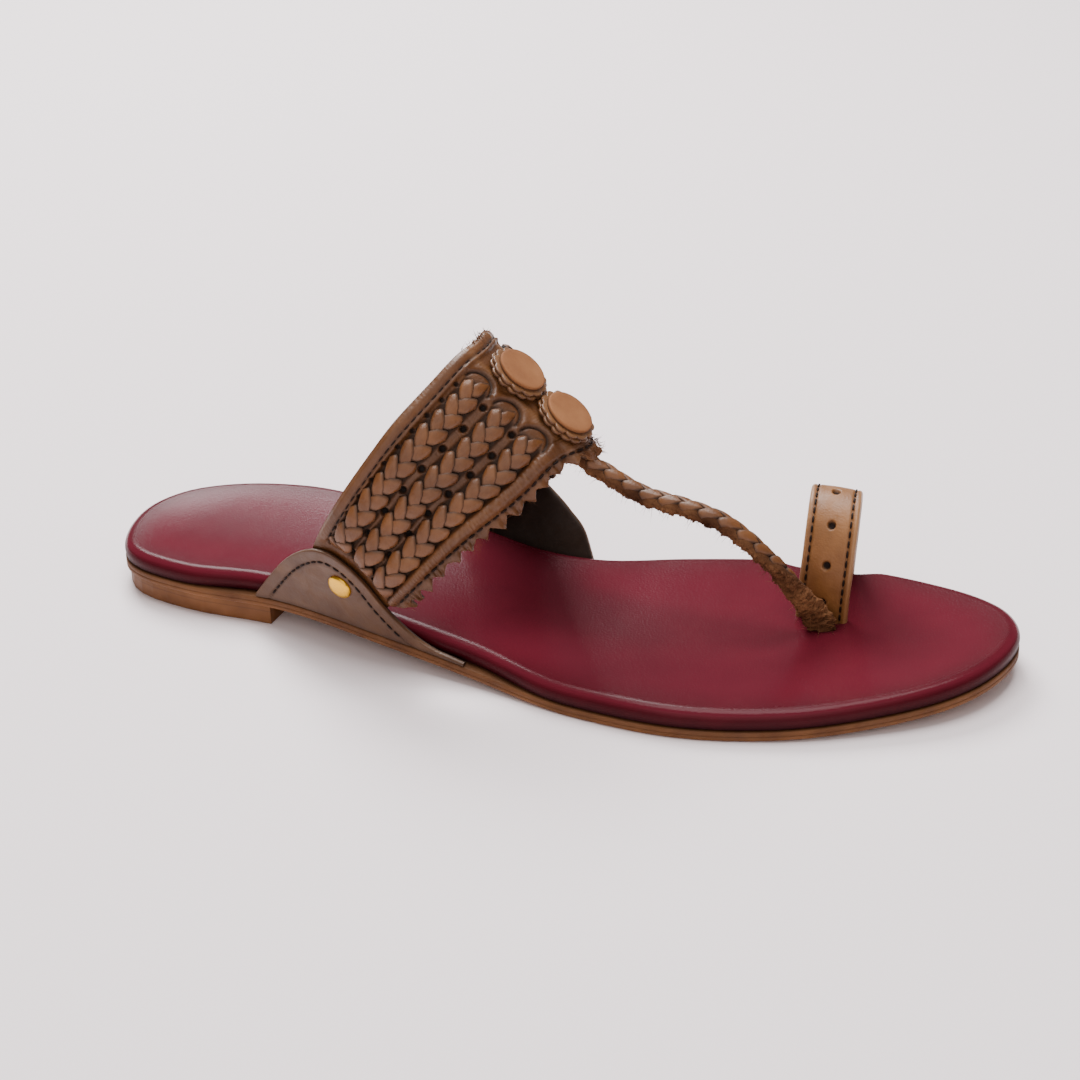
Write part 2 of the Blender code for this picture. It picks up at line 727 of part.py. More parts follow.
def make_rosette(name, share, material, cap_material):
    """Make one rosette: a scalloped leather washer and a plain round cap on it."""
    place, out = crest_place(share)
    turn = out.to_track_quat("Z", "X").to_matrix()
    sides = ROSETTE_LOBES * 4
    bottom = place + out * (SEAM_GAP + 0.0002)
    points = []
    for height in (0.0, ROSETTE_THICK):
        for step in range(sides):
            angle = 2.0 * math.pi * step / sides
            radius = ROSETTE_WIDTH / 2.0 - ROSETTE_LOBE_DEPTH
            radius += ROSETTE_LOBE_DEPTH * math.cos(ROSETTE_LOBES * angle)
            local = Vector((radius * math.cos(angle), radius * math.sin(angle), height))
            points.append(bottom + turn @ local)
    faces = [tuple(range(sides))[::-1], tuple(range(sides, 2 * sides))]
    faces += strip_faces(0, sides, sides)
    base = make_object("rosette_base_" + name, points, faces, material)
    radius = CAP_WIDTH / 2.0
    bevel = CAP_THICK / 2.0
    stations = ((radius, 0.0), (radius, CAP_THICK - bevel), (radius - bevel, CAP_THICK))
    seat = bottom + out * (ROSETTE_THICK + SEAM_GAP)
    points, faces = rod(seat, out, stations, sides=28)
    cap = make_object("rosette_cap_" + name, points, faces, cap_material)
    return base, cap


def smooth_path(points, count):
    """Return evenly placed points on a smooth line through the chosen ones."""
    chosen = np.array(points, float)
    reach = np.concatenate([[0.0], np.cumsum(np.linalg.norm(np.diff(chosen, axis=0), axis=1))])
    at = np.linspace(0.0, reach[-1], count)
    return np.stack([smooth_between(reach, chosen[:, axis], at) for axis in range(chosen.shape[1])], 1)


def cord_route():
    """Return the chosen points of the cord, tied to the crest's front and to the toe slot."""
    start_x = CREST_FRONT_X - CORD_TUCK
    start_z = CREST_FRONT_HEIGHT + CORD_START_RISE
    x = start_x + (CORD_END_X - start_x) * column(CORD_ROWS, CORD_COLUMNS, "along")
    y = CREST_Y + (CORD_END_Y - CREST_Y) * column(CORD_ROWS, CORD_COLUMNS, "inward")
    z = CORD_END_Z + (start_z - CORD_END_Z) * column(CORD_ROWS, CORD_COLUMNS, "height")
    return np.stack([x, y, z], 1)


def make_cord(material):
    """Make the toe cord: a flat plait that runs from under the crest into the toe slot."""
    path = smooth_path(cord_route(), CORD_STEPS)
    reach = np.concatenate([[0.0], np.cumsum(np.linalg.norm(np.diff(path, axis=0), axis=1))])
    along = np.gradient(path, axis=0)
    along /= np.linalg.norm(along, axis=1)[:, None]
    wide = np.cross(np.array([0.0, 0.0, 1.0]), along)
    wide /= np.linalg.norm(wide, axis=1)[:, None]
    up = np.cross(along, wide)
    sides = 12
    points = []
    for row in range(len(path)):
        slim = ease((reach[row] - 0.012) / 0.020) * (1.0 - ease((reach[row] - 0.060) / 0.020))
        narrow = 1.0 - CORD_SLIM * slim
        full = ease(reach[row] / CORD_TUCK_LENGTH)
        thick = CORD_TUCKED_THICK + (CORD_THICK - CORD_TUCKED_THICK) * full
        for step in range(sides):
            angle = 2.0 * math.pi * step / sides
            across = math.cos(angle)
            phase = 2.0 * math.pi * (reach[row] / CORD_PITCH + 0.25 * np.sign(across))
            lobe = CORD_LOBE * math.cos(phase) * abs(across)
            width = (CORD_WIDTH / 2.0 + lobe) * narrow
            place = path[row] + wide[row] * width * across
            points.append(place + up[row] * thick / 2.0 * math.sin(angle))
    faces = [tuple(range(sides)), tuple(range((len(path) - 1) * sides, len(path) * sides))[::-1]]
    for row in range(len(path) - 1):
        faces += strip_faces(row * sides, (row + 1) * sides, sides)
    return make_object("toe_cord", points, faces, material, sharp_angle=60.0)


def ring_line():
    """Return the toe ring's middle line, from the slot to the inner edge a little behind it."""
    inner_y = sole_edge(np.array([RING_X - RING_SKEW]), 1)[0] - RING_THICK / 2.0
    low = outsole_top(RING_X) + SEAM_GAP
    across = column(RING_ROWS, RING_COLUMNS, "across")
    rise = column(RING_ROWS, RING_COLUMNS, "up")
    y = RING_OUTER_Y + (inner_y - RING_OUTER_Y) * across
    z = low + (RING_TOP - RING_THICK / 2.0 - low) * rise
    x = RING_X - RING_SKEW * np.clip(across, 0.0, 1.0)
    return smooth_path(np.stack([x, y, z], 1), RING_STEPS)


def make_ring(material):
    """Make the toe ring: a strap bent over the big toe, its ends beside the insole."""
    line = ring_line()
    along = np.gradient(line[:, 1:], axis=0)
    along /= np.linalg.norm(along, axis=1)[:, None]
    out = np.stack([-along[:, 1], along[:, 0]], 1)
    half = RING_WIDTH / 2.0
    edge = 0.0005
    section = (
        (-half, -1.0), (half, -1.0), (half, 1.0 - 2.0 * edge / RING_THICK), (half - edge, 1.0),
        (0.0, 1.0), (edge - half, 1.0), (-half, 1.0 - 2.0 * edge / RING_THICK),
    )
    count = len(section)
    points = []
    for row in range(len(line)):
        for shift, share in section:
            y, z = line[row, 1:] + out[row] * share * RING_THICK / 2.0
            points.append((line[row, 0] + shift, y, z))
    faces = [tuple(range(count)), tuple(range((len(line) - 1) * count, len(line) * count))[::-1]]
    for row in range(len(line) - 1):
        faces += strip_faces(row * count, (row + 1) * count, count)
    return make_object("toe_ring", points, faces, material)


def clear_scene():
    """Remove whatever the scene holds."""
    for thing in list(bpy.data.objects):
        bpy.data.objects.remove(thing, do_unlink=True)


def main():
    """Build the sandal's pieces from the floor up."""
    clear_scene()
    tan = make_material("tan_sole_leather", (0.35, 0.16, 0.05), 0.55)
    stacked = make_material("stacked_heel_leather", (0.30, 0.13, 0.045), 0.55)
    wine = make_material("burgundy_lining_leather", (0.115, 0.006, 0.018), 0.38)
    brown = make_material("brown_band_leather", (0.27, 0.125, 0.055), 0.5)
    suede = make_material("brown_cap_leather", (0.31, 0.15, 0.07), 0.8)
    dusk = make_material("grey_brown_wing_leather", (0.20, 0.10, 0.06), 0.5)
    plait = make_material("brown_cord_leather", (0.26, 0.12, 0.05), 0.6)
    brass = make_material("polished_brass", (0.83, 0.55, 0.12), 0.25, 1.0)
    make_outsole(tan)
    make_heel_block(stacked)
    make_insole(wine)
    make_band(brown)
    for name, side in (("lateral", -1), ("medial", 1)):
        make_wing("wing_" + name, side, dusk)
        make_rivet("rivet_" + name, side, brass)
    for name, share in ROSETTE_PLACES:
        make_rosette(name, share, brown, suede)
    make_cord(plait)
    make_ring(brown)


main()
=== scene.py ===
# %% [markdown]
# A kolhapuri sandal is a flat leather sandal.  A braided band crosses the instep, a plaited
# cord runs from it to the toes, and a strap rings the big toe.  This lesson dresses the
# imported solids: each leather piece becomes a smooth surface worked out with numpy, laid on
# the same sizes as the solid that it stands for, and each finish is built from nodes.

# %% Load the frame and keep its box
import math

import bpy
import numpy as np
from mathutils import Matrix, Vector


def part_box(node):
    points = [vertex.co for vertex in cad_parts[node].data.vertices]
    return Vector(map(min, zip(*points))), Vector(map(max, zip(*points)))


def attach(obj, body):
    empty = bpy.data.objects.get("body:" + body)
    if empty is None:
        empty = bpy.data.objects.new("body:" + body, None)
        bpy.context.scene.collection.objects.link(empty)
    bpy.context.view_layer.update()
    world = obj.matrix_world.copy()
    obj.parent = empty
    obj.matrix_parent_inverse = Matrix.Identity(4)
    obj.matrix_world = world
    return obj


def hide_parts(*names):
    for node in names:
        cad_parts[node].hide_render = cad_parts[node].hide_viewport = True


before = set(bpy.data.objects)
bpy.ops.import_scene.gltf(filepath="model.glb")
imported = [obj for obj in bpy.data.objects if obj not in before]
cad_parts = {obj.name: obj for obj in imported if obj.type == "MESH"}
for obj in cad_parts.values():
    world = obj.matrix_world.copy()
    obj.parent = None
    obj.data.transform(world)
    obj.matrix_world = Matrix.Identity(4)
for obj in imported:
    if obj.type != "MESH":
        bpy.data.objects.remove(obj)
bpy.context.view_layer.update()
print("nodes in the frame:", sorted(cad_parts))

# %% [markdown]
# The camera comes first, because the size of every stitch and grain is judged through it.
# The photograph was taken with a long lens from the outer front side.  The camera stands at
# the place worked out from the photograph and turns a little, so that the heel comes in too.

# %% Place the camera
PHOTO_PIXELS = 1080
PHOTO_FOCAL_PIXELS = 2321.0
CAMERA_PLACE = Vector((0.3105, -0.5029, 0.3106))
CAMERA_UP = Vector((-0.138, 0.397, 0.907))
AIM = Vector((0.0955, -0.0030, 0.0270))


def link_object(name, data):
    """A new object for a mesh, light or camera, linked into the scene."""
    thing = bpy.data.objects.new(name, data)
    bpy.context.collection.objects.link(thing)
    return thing


camera = bpy.data.cameras.new("photo_camera")
camera.sensor_width = 36.0
camera.lens = camera.sensor_width * PHOTO_FOCAL_PIXELS / PHOTO_PIXELS
camera_object = link_object("photo_camera", camera)
back = (CAMERA_PLACE - AIM).normalized()
right = CAMERA_UP.cross(back).normalized()
turn = Matrix((right, back.cross(right), back)).transposed().to_4x4()
camera_object.matrix_world = Matrix.Translation(CAMERA_PLACE) @ turn
bpy.context.scene.camera = camera_object
print("lens in mm:", round(camera.lens, 1))

# %% [markdown]
# All sizes below are real sizes in metres.  The sole's outline is a short table of shares,
# run through a smooth cubic, so the same few numbers give the outline, the wings' feet and
# the rims.  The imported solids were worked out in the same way, so the pieces meet them.

# %% Sizes of the sole
MM = 0.001
sole_low, sole_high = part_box("outsole")
SHOE_LENGTH = float(sole_high[0] - sole_low[0])
HEEL_BEHIND = float(-sole_low[0])
BALL_WIDTH = 86 * MM
HEEL_WIDTH = 60 * MM
SEAM_GAP = 0.3 * MM
OUTSOLE_THICK = 2.8 * MM
INSOLE_THICK = 4.9 * MM
HEEL_RISE = float(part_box("heel_block")[1][2]) + SEAM_GAP
TOE_SPRING = 5.0 * MM
ARCH_START, ARCH_END, SPRING_START = 75 * MM, 150 * MM, 185 * MM

SOLE_ALONG = np.array([0, 0.035, 0.12, 0.24, 0.36, 0.48, 0.60, 0.70, 0.80, 0.90, 0.965, 1])
SOLE_MIDDLE = np.array([5, -15, 10, 25, -30, -70, -45, 0, 50, 100, 130, 165]) / 1000
SOLE_HEEL = np.array([0, 69, 96, 100, 65, 30, 0, 0, 0, 0, 0, 0]) / 100
SOLE_BALL = np.array([0, 0, 0, 0, 27, 52, 90, 100, 95, 74, 48, 0]) / 100


def smooth_between(known, values, at):
    """Cubic through (known, values): each stretch blends its end values and end slopes."""
    slopes = np.gradient(values, known)
    row = np.clip(np.searchsorted(known, at) - 1, 0, len(known) - 2)
    step = known[row + 1] - known[row]
    t = (at - known[row]) / step
    start = (2 * t**3 - 3 * t**2 + 1) * values[row] + (t**3 - 2 * t**2 + t) * step * slopes[row]
    end = (3 * t**2 - 2 * t**3) * values[row + 1] + (t**3 - t**2) * step * slopes[row + 1]
    return start + end


def ease(share):
    """3 t squared minus 2 t cubed, with t held between 0 and 1."""
    t = np.clip(share, 0, 1)
    return t * t * (3 - 2 * t)


def bump(distance, width):
    """A soft bell: e to the minus square of distance over width."""
    return np.exp(-((distance / width) ** 2))


def unit(vectors):
    """Each vector divided by its own length."""
    return vectors / np.maximum(np.linalg.norm(vectors, axis=-1, keepdims=True), 1e-12)


def run_along(line):
    """The length run from a line's first point to each of its points."""
    return np.concatenate([[0], np.cumsum(np.linalg.norm(np.diff(line, axis=0), axis=1))])


def read_along(at, run, table):
    """The rows of a table at places between its own, by straight steps."""
    return np.stack([np.interp(at, run, column) for column in table.T], -1)


def circle(count):
    """Even angles once round."""
    return np.arange(count) * 2 * math.pi / count


def round_place(along):
    """The angle whose cosine runs from heel to toe: even steps on a rounded end."""
    return np.arccos(1 - 2 * np.clip(along, 0, 1)) / math.pi


def sole_middle(x):
    """Middle line: the table of shares times the ball's width."""
    place = round_place((x + HEEL_BEHIND) / SHOE_LENGTH)
    return smooth_between(round_place(SOLE_ALONG), SOLE_MIDDLE * BALL_WIDTH, place)


def sole_half(x):
    """Half width: heel shares times half the heel plus ball shares times half the ball."""
    half = (SOLE_HEEL * HEEL_WIDTH + SOLE_BALL * BALL_WIDTH) / 2
    place = round_place((x + HEEL_BEHIND) / SHOE_LENGTH)
    return smooth_between(round_place(SOLE_ALONG), half, place)


def sole_edge(x, side):
    """Edge: middle plus side times half width, with side -1 outer and +1 inner."""
    return sole_middle(x) + side * sole_half(x)


def sole_bottom(x):
    """Underside: the heel's rise eased to the flat ball, then the square rise of the toe."""
    along = x + HEEL_BEHIND
    arch = HEEL_RISE * (1 - ease((along - ARCH_START) / (ARCH_END - ARCH_START)))
    spring = np.clip((along - SPRING_START) / (SHOE_LENGTH - SPRING_START), 0, 1)
    return arch + TOE_SPRING * spring**2


def outsole_top(x):
    """Underside plus the outsole's thickness."""
    return sole_bottom(x) + OUTSOLE_THICK


def insole_top(x):
    """Outsole's top plus the seam and the insole's thickness."""
    return outsole_top(x) + SEAM_GAP + INSOLE_THICK


print("sole length and widest half width in mm:", SHOE_LENGTH * 1000, BALL_WIDTH * 500)

# %% [markdown]
# A wing is a flap of smooth leather that stands on the sole's edge and leans outward.  Its
# edge is a bell curve.  The band's lower end lies against the inside of the wing.

# %% Sizes and faces of the wings
WING_HEIGHT = 23 * MM
WING_WALL = 1.8 * MM
WING_LENGTH = 65.5 * MM
WING_REAR_X = 22 * MM
INNER_SHIFT = 11.5 * MM
WING_LEAN = {-1: 5.5 * MM, 1: 11 * MM}
WING_ALONG = np.array([0, 8, 17, 27, 39, 49, 58, 66, 76, 87, 95, 100]) / 100
WING_SHARE = {
    -1: np.array([6, 35, 64, 87, 100, 94, 75, 46, 21, 8, 6, 5]) / 100,
    1: np.array([6, 24, 46, 69, 90, 99, 100, 94, 81, 61, 38, 7]) / 100,
}
RIVET_ALONG, RIVET_UP = 0.46, 0.56


def by_side(side, outer, inner):
    """The inner value where the side is +1, else the outer one."""
    return np.where(np.asarray(side) > 0, inner, outer)


def wing_start(side):
    """The inner wing stands further forward by the shift."""
    return WING_REAR_X + by_side(side, 0, INNER_SHIFT)


def wing_face(x, z, side):
    """Outer face: sole edge plus the lean times the height share to the power 1.15."""
    up = (z - outsole_top(x)) / WING_HEIGHT
    lean = side * by_side(side, WING_LEAN[-1], WING_LEAN[1])
    return sole_edge(x, side) + lean * np.sign(up) * np.abs(up) ** 1.15


def wing_top(x, side):
    """Bell edge: the table of shares times the wing's height, one table for each side."""
    along = np.clip((x - wing_start(side)) / WING_LENGTH, 0, 1)
    outer, inner = (smooth_between(WING_ALONG, WING_SHARE[way], along) for way in (-1, 1))
    return WING_HEIGHT * by_side(side, outer, inner)


print("wings start at x in mm:", float(wing_start(-1)) * 1000, float(wing_start(1)) * 1000)

# %% [markdown]
# The band is ruled between two edge lines, a rear and a front one, that climb from the outer
# foot over the crest to the inner foot.  "walk" runs from -1 at the outer foot through 0 at
# the crest to 1 at the inner foot, and "across" from 0 at the rear edge to 1 at the front.

# %% Sizes and face of the band
BAND_WALL = 2.2 * MM
CREST_Y = 1.0 * MM
BAND_SPAN = 35 * MM
REAR_X, REAR_CREST_X, INSTEP_HEIGHT = 40.0 * MM, 77.3 * MM, 80.0 * MM
FRONT_X, FRONT_CREST_X, FRONT_HEIGHT = 60.0 * MM, 107.8 * MM, 56.0 * MM
FOOT_LIFT = 1.0 * MM
BAND_CLEAR = 0.25
RAIL_CLIMB = np.array([0, 16, 38, 60, 78, 90, 100]) / 100
RAIL_SHARES = {
    "rear_x": np.array([0, 102, 364, 657, 850, 963, 1000]) / 1000,
    "rear_z": np.array([0, 228, 498, 758, 905, 989, 1000]) / 1000,
    "front_x": np.array([0, 108, 288, 507, 755, 898, 1000]) / 1000,
    "front_z": np.array([0, 73, 298, 558, 803, 978, 1000]) / 1000,
    "outward": np.array([100, 100, 97, 80, 49, 26, 0]) / 100,
}
BRAID_ACROSS = (0.26, 0.54, 0.81)


def rail(name, climb):
    """A table's cubic, carried past the crest by its mirror image so that it stays smooth."""
    sign = -1 if name == "outward" else 1
    known = np.concatenate([RAIL_CLIMB, 2 - RAIL_CLIMB[-2::-1]])
    shares = np.concatenate([RAIL_SHARES[name], sign * RAIL_SHARES[name][-2::-1]])
    return smooth_between(known, shares, climb)


def band_face(walk, across):
    """Point on the ruled face: rear line times (1 - across) plus front line times across.

    Below the wing's edge the face is moved onto the wing's inside, less the seam.
    """
    walk, across = np.broadcast_arrays(np.asarray(walk, float), np.asarray(across, float))
    climb, side = 1 - np.abs(walk), np.where(walk < 0, -1.0, 1.0)
    shift = INNER_SHIFT * (1 - ease(climb / 0.9)) * (side > 0)
    rear_low = insole_top(np.array(REAR_X)) + FOOT_LIFT
    front_low = insole_top(np.array(FRONT_X)) + FOOT_LIFT
    rear_x = REAR_X + (REAR_CREST_X - REAR_X) * rail("rear_x", climb) + shift
    front_x = FRONT_X + (FRONT_CREST_X - FRONT_X) * rail("front_x", climb) + shift
    rear_z = rear_low + (INSTEP_HEIGHT - rear_low) * rail("rear_z", climb)
    front_z = front_low + (FRONT_HEIGHT - front_low) * rail("front_z", climb)
    x = rear_x + (front_x - rear_x) * across
    z = rear_z + (front_z - rear_z) * across
    y = CREST_Y + side * rail("outward", climb) * (BAND_SPAN - side * CREST_Y)
    wing_edge = outsole_top(x) + WING_HEIGHT
    inside = wing_face(x, np.minimum(z, wing_edge), side) - side * (WING_WALL + SEAM_GAP)
    y = y + (inside - y) * (1 - ease((climb - BAND_CLEAR) / BAND_CLEAR))
    return np.stack([x, side * np.minimum(side * y, side * inside), z], -1)


def wing_clearance(walk, across, margin=3 * MM):
    """0 where the wing covers the band, eased to 1 over a margin above the wing's edge."""
    point = band_face(walk, across)
    x, side = point[..., 0], np.where(np.broadcast_to(walk, point.shape[:-1]) < 0, -1.0, 1.0)
    covered = (x > wing_start(side)) & (x < wing_start(side) + WING_LENGTH)
    edge = outsole_top(x) + np.where(covered, wing_top(x, side), 0)
    return ease((point[..., 2] - edge - 4 * SEAM_GAP) / margin)


def band_out(walk, across):
    """Outward direction: the cross product of small steps along and across the face."""
    step = 0.002
    along = band_face(walk + step, across) - band_face(walk - step, across)
    over = band_face(walk, across + step) - band_face(walk, across - step)
    return unit(np.cross(over, along))


def band_width(walk):
    """Straight distance from the rear to the front line."""
    return np.linalg.norm(band_face(walk, 1.0) - band_face(walk, 0.0), axis=-1)


def line_table(across):
    """Walks from foot to foot on one line of the band, and the length run at each."""
    walks = np.linspace(-1, 1, 801)
    return walks, run_along(band_face(walks, across))


print("band's outward direction on the outer side:", band_out(-0.5, 0.5).round(2))
print("length of the band's middle line in mm:", round(line_table(0.5)[1][-1] * 1000, 1))

# %% [markdown]
# Every surface is a grid of points: rows along the piece and columns round its section.  A
# grid whose columns wrap round is a tube.  It is closed at both ends by one many-sided face,
# or, where the end is long and flat, by a ladder of small ones.

# %% Helpers that turn grids into pieces
SHARP_EDGE = math.radians(70)


def grid_faces(rows, columns):
    """Four-sided faces between neighbours of a grid whose columns wrap round."""
    index = np.arange(rows * columns).reshape(rows, columns)
    index = np.concatenate([index, index[:, :1]], 1)
    corners = (index[:-1, :-1], index[:-1, 1:], index[1:, 1:], index[1:, :-1])
    return np.stack(corners, -1).reshape(-1, 4)


def signed_volume(points, faces):
    """Sum of the small pyramids from the origin to each face: positive if faces point out."""
    a, b, c, d = (points[faces[:, i]] for i in range(4))
    first = np.einsum("ij,ij->i", a, np.cross(b, c))
    return float((first + np.einsum("ij,ij->i", a, np.cross(c, d))).sum())


def ladder(first, count):
    """Faces that close a flat ring along its middle: point i is joined to point -i."""
    i = np.arange(1, count // 2 - 1)
    rungs = np.stack([i, i + 1, count - i - 1, count - i], -1) + first
    half = count // 2
    tips = [[0, 1, count - 1], [half - 1, half, half + 1]]
    return rungs.tolist() + [[first + corner for corner in tip] for tip in tips]


def tube_piece(name, grid, material, shade=0.0, painted_highlight=0.0, laddered=False):
    """One closed piece from a stack of tubes: the grid is tubes by rows by columns by xyz.

    It is smooth, notes where shade and highlights are painted on it, and rides on the shoe.
    """
    grid = np.asarray(grid, float)
    if grid.ndim == 3:
        grid = grid[None]
    count, rows, columns = grid.shape[:3]
    faces = grid_faces(rows, columns)
    start = (np.arange(count) * rows * columns)[:, None]
    whole = (faces[None] + start[..., None]).reshape(-1, 4)
    last = (rows - 1) * columns
    if laddered:
        closing = [face[::-1] for face in ladder(0, columns)] + ladder(last, columns)
    else:
        ring = start + np.arange(columns)
        closing = np.concatenate([ring[:, ::-1], ring + last]).tolist()
    if signed_volume(grid[0].reshape(-1, 3), faces) < 0:
        whole, closing = whole[:, ::-1], [face[::-1] for face in closing]
    mesh = bpy.data.meshes.new(name)
    mesh.from_pydata(grid.reshape(-1, 3).tolist(), [], whole.tolist() + closing)
    mesh.shade_smooth()
    mesh.set_sharp_from_angle(angle=SHARP_EDGE)
    # the painted shade and the painted highlight of each point, read by the finishes
    for label, values in (("shade", shade), ("painted_highlight", painted_highlight)):
        values = np.broadcast_to(np.asarray(values, np.float32), grid.shape[:3])
        layer = mesh.attributes.new(label, "FLOAT", "POINT")
        layer.data.foreach_set("value", values.ravel())
    mesh.materials.append(material)
    piece = link_object(name, mesh)
    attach(piece, "root")
    print(name, "faces:", len(mesh.polygons))
    return piece


# %% [markdown]
# A finish starts from its colours in sRGB hex, matched to the photograph, turned into the
# linear values that Blender mixes.  One helper adds a node, sets it and links it.

# %% Helpers for finishes
def linear(code):
    """sRGB hex to linear: divide by 12.92 when dark, else the 2.4 power of the usual curve."""
    raw = [int(code[i:i + 2], 16) / 255 for i in (1, 3, 5)]
    return tuple(v / 12.92 if v <= 0.04045 else ((v + 0.055) / 1.055) ** 2.4 for v in raw) + (1.0,)


def add(tree, kind, inputs=None, **settings):
    """Add one node, set its settings, and fill its inputs with values or other sockets."""
    node = tree.nodes.new(kind)
    for name, value in settings.items():
        setattr(node, name, value)
    for name, value in (inputs or {}).items():
        if isinstance(value, bpy.types.NodeSocket):
            tree.links.new(value, node.inputs[name])
        else:
            node.inputs[name].default_value = value
    return node


def fill_ramp(node, stops):
    """Give a colour ramp its stops: pairs of a place and a hex colour or a grey share."""
    ramp = node.color_ramp
    while len(ramp.elements) < len(stops):
        ramp.elements.new(0.5)
    for element, (place, tone) in zip(ramp.elements, stops):
        element.position = place
        element.color = linear(tone) if isinstance(tone, str) else (tone, tone, tone, 1)


print("a burgundy in linear values:", [round(v, 4) for v in linear("#3B0710")[:3]])

# %% [markdown]
# All the leathers share one recipe, because they are one material that was tanned, dyed and
# polished in different ways.  It could be painted, but nodes keep it sharp at any distance:
# three bumps of different size lie on each other, and painted shade and painted highlights come
# from the mesh.

# %% The recipe for leather
def start_finish(name):
    """A new material with nodes: itself, its node tree and its shader."""
    material = bpy.data.materials.new(name)
    material.use_nodes = True
    return material, material.node_tree, material.node_tree.nodes["Principled BSDF"]


TONE_PATCH = 9.0909 * MM


def leather(name, tones, deep, grain_mm, grain_depth, roughness, gloss=0.0, crease=0.35,
            specular=0.5, highlight_tone="#B98A60"):
    """Tanned hide: patches of tone, a pebbled grain, fine pores and long soft creases.

    The grain is a cell pattern of the grain's size; the pores are noise at a third of it, and
    the creases noise at about eight times it.  The "shade" attribute paints shade into grooves,
    holes and crevices, darker and duller, and the painted-highlight attribute paints highlights on
    edges and folds, lighter and shinier.
    """
    material, tree, shader = start_finish(name)
    place = add(tree, "ShaderNodeTexCoord").outputs["Object"]
    patch = add(tree, "ShaderNodeTexNoise", {
        "Vector": place, "Scale": 1 / TONE_PATCH, "Detail": 5.0})
    tone = add(tree, "ShaderNodeValToRGB", {"Fac": patch.outputs["Fac"]})
    fill_ramp(tone, ((0.30, tones[0]), (0.50, tones[1]), (0.72, tones[2])))
    # painted shade: the shade attribute mixes the tone toward the dark shade colour
    shade = add(tree, "ShaderNodeAttribute", attribute_name="shade")
    dark = add(tree, "ShaderNodeMix", {
        "Factor": shade.outputs["Fac"], "A": tone.outputs["Color"], "B": linear(deep)},
        data_type="RGBA")
    # painted highlight: this attribute mixes the colour toward a light highlight tone
    painted_highlight = add(tree, "ShaderNodeAttribute", attribute_name="painted_highlight")
    with_highlight = add(tree, "ShaderNodeMix", {
        "Factor": painted_highlight.outputs["Fac"], "A": dark.outputs["Result"], "B": linear(highlight_tone)},
        data_type="RGBA")
    cell_scale = 1.0 / (grain_mm * MM)
    cells = add(tree, "ShaderNodeTexVoronoi", {"Vector": place, "Scale": cell_scale},
                feature="SMOOTH_F1")
    pores = add(tree, "ShaderNodeTexNoise", {
        "Vector": place, "Scale": 3 * cell_scale, "Detail": 3.0})
    folds = add(tree, "ShaderNodeTexNoise", {
        "Vector": place, "Scale": 0.12 * cell_scale, "Detail": 6.0, "Distortion": 0.8})
    fine = add(tree, "ShaderNodeBump", {
        "Height": pores.outputs["Fac"], "Strength": 0.35, "Distance": 0.25 * grain_depth * MM})
    pebble = add(tree, "ShaderNodeBump", {
        "Height": cells.outputs["Distance"], "Normal": fine.outputs["Normal"],
        "Strength": 0.8, "Distance": grain_depth * MM})
    soft = add(tree, "ShaderNodeBump", {
        "Height": folds.outputs["Fac"], "Normal": pebble.outputs["Normal"],
        "Strength": crease, "Distance": 6 * grain_depth * MM})
    rough = add(tree, "ShaderNodeMapRange", {
        "Value": folds.outputs["Fac"], "From Min": 0.3, "From Max": 0.7,
        "To Min": roughness - 0.25 * crease, "To Max": roughness + 0.3 * crease})
    shine = add(tree, "ShaderNodeMath", {
        0: painted_highlight.outputs["Fac"], 1: -0.35, 2: rough.outputs["Result"]},
        operation="MULTIPLY_ADD", use_clamp=True)
    dull = add(tree, "ShaderNodeMath", {
        0: shade.outputs["Fac"], 1: 0.45, 2: shine.outputs["Value"]},
        operation="MULTIPLY_ADD", use_clamp=True)
    tree.links.new(with_highlight.outputs["Result"], shader.inputs["Base Color"])
    tree.links.new(dull.outputs["Value"], shader.inputs["Roughness"])
    tree.links.new(soft.outputs["Normal"], shader.inputs["Normal"])
    shader.inputs["IOR"].default_value = 1.48
    shader.inputs["Specular IOR Level"].default_value = specular
    shader.inputs["Coat Weight"].default_value = gloss
    shader.inputs["Coat Roughness"].default_value = 0.35
    return material


print("patches of tone in mm:", round(TONE_PATCH * 1000, 1))

# %% [markdown]
# The leathers.  Chrome-tanned burgundy lining leather is plated smooth and has a soft shine.
# The band is waxed cowhide with a visible grain.  The plaits are cut from the same hide, and
# their raised lobes get painted highlights on their edges.  The caps are buffed, so they are matt
# and a little orange, and the wings are a greyer, smoother hide.  The strap is waxed too, and
# lighter.
# Raw flesh side is hairy and has no shine, bark-tanned sole leather is tan, and waxed thread
# is nearly black.  Grain is a little coarser than on real hide, so that the render shows it.

# %% Make the finishes
# Each finish lists its tones, then the colour of its painted shade; the last colour, where given,
# is that of its painted highlights.
LINING = leather("plated_burgundy_lining_leather", ("#37060F", "#3B0710", "#400812"), "#120104",
                 0.55, 0.035, 0.36, crease=0.03, specular=0.09, highlight_tone="#6A2230")
BAND = leather("waxed_brown_cowhide", ("#4C2C14", "#583418", "#653E1F"), "#120703",
               0.60, 0.08, 0.44, gloss=0.05, specular=0.42, highlight_tone="#A37A55")
LACE = leather("brown_lace_leather", ("#553116", "#633B1C", "#724622"), "#150904",
               0.55, 0.07, 0.42, gloss=0.06, specular=0.42, highlight_tone="#A87F59")
CAP = leather("buffed_brown_split_leather", ("#744829", "#7F502E", "#8A5A36"), "#20100A",
              0.35, 0.04, 0.80, crease=0.10, specular=0.30)
FLESH = leather("raw_flesh_side_leather", ("#432717", "#65412A", "#8A6040"), "#1C0D06",
                0.30, 0.16, 0.92, crease=0.6, specular=0.15)
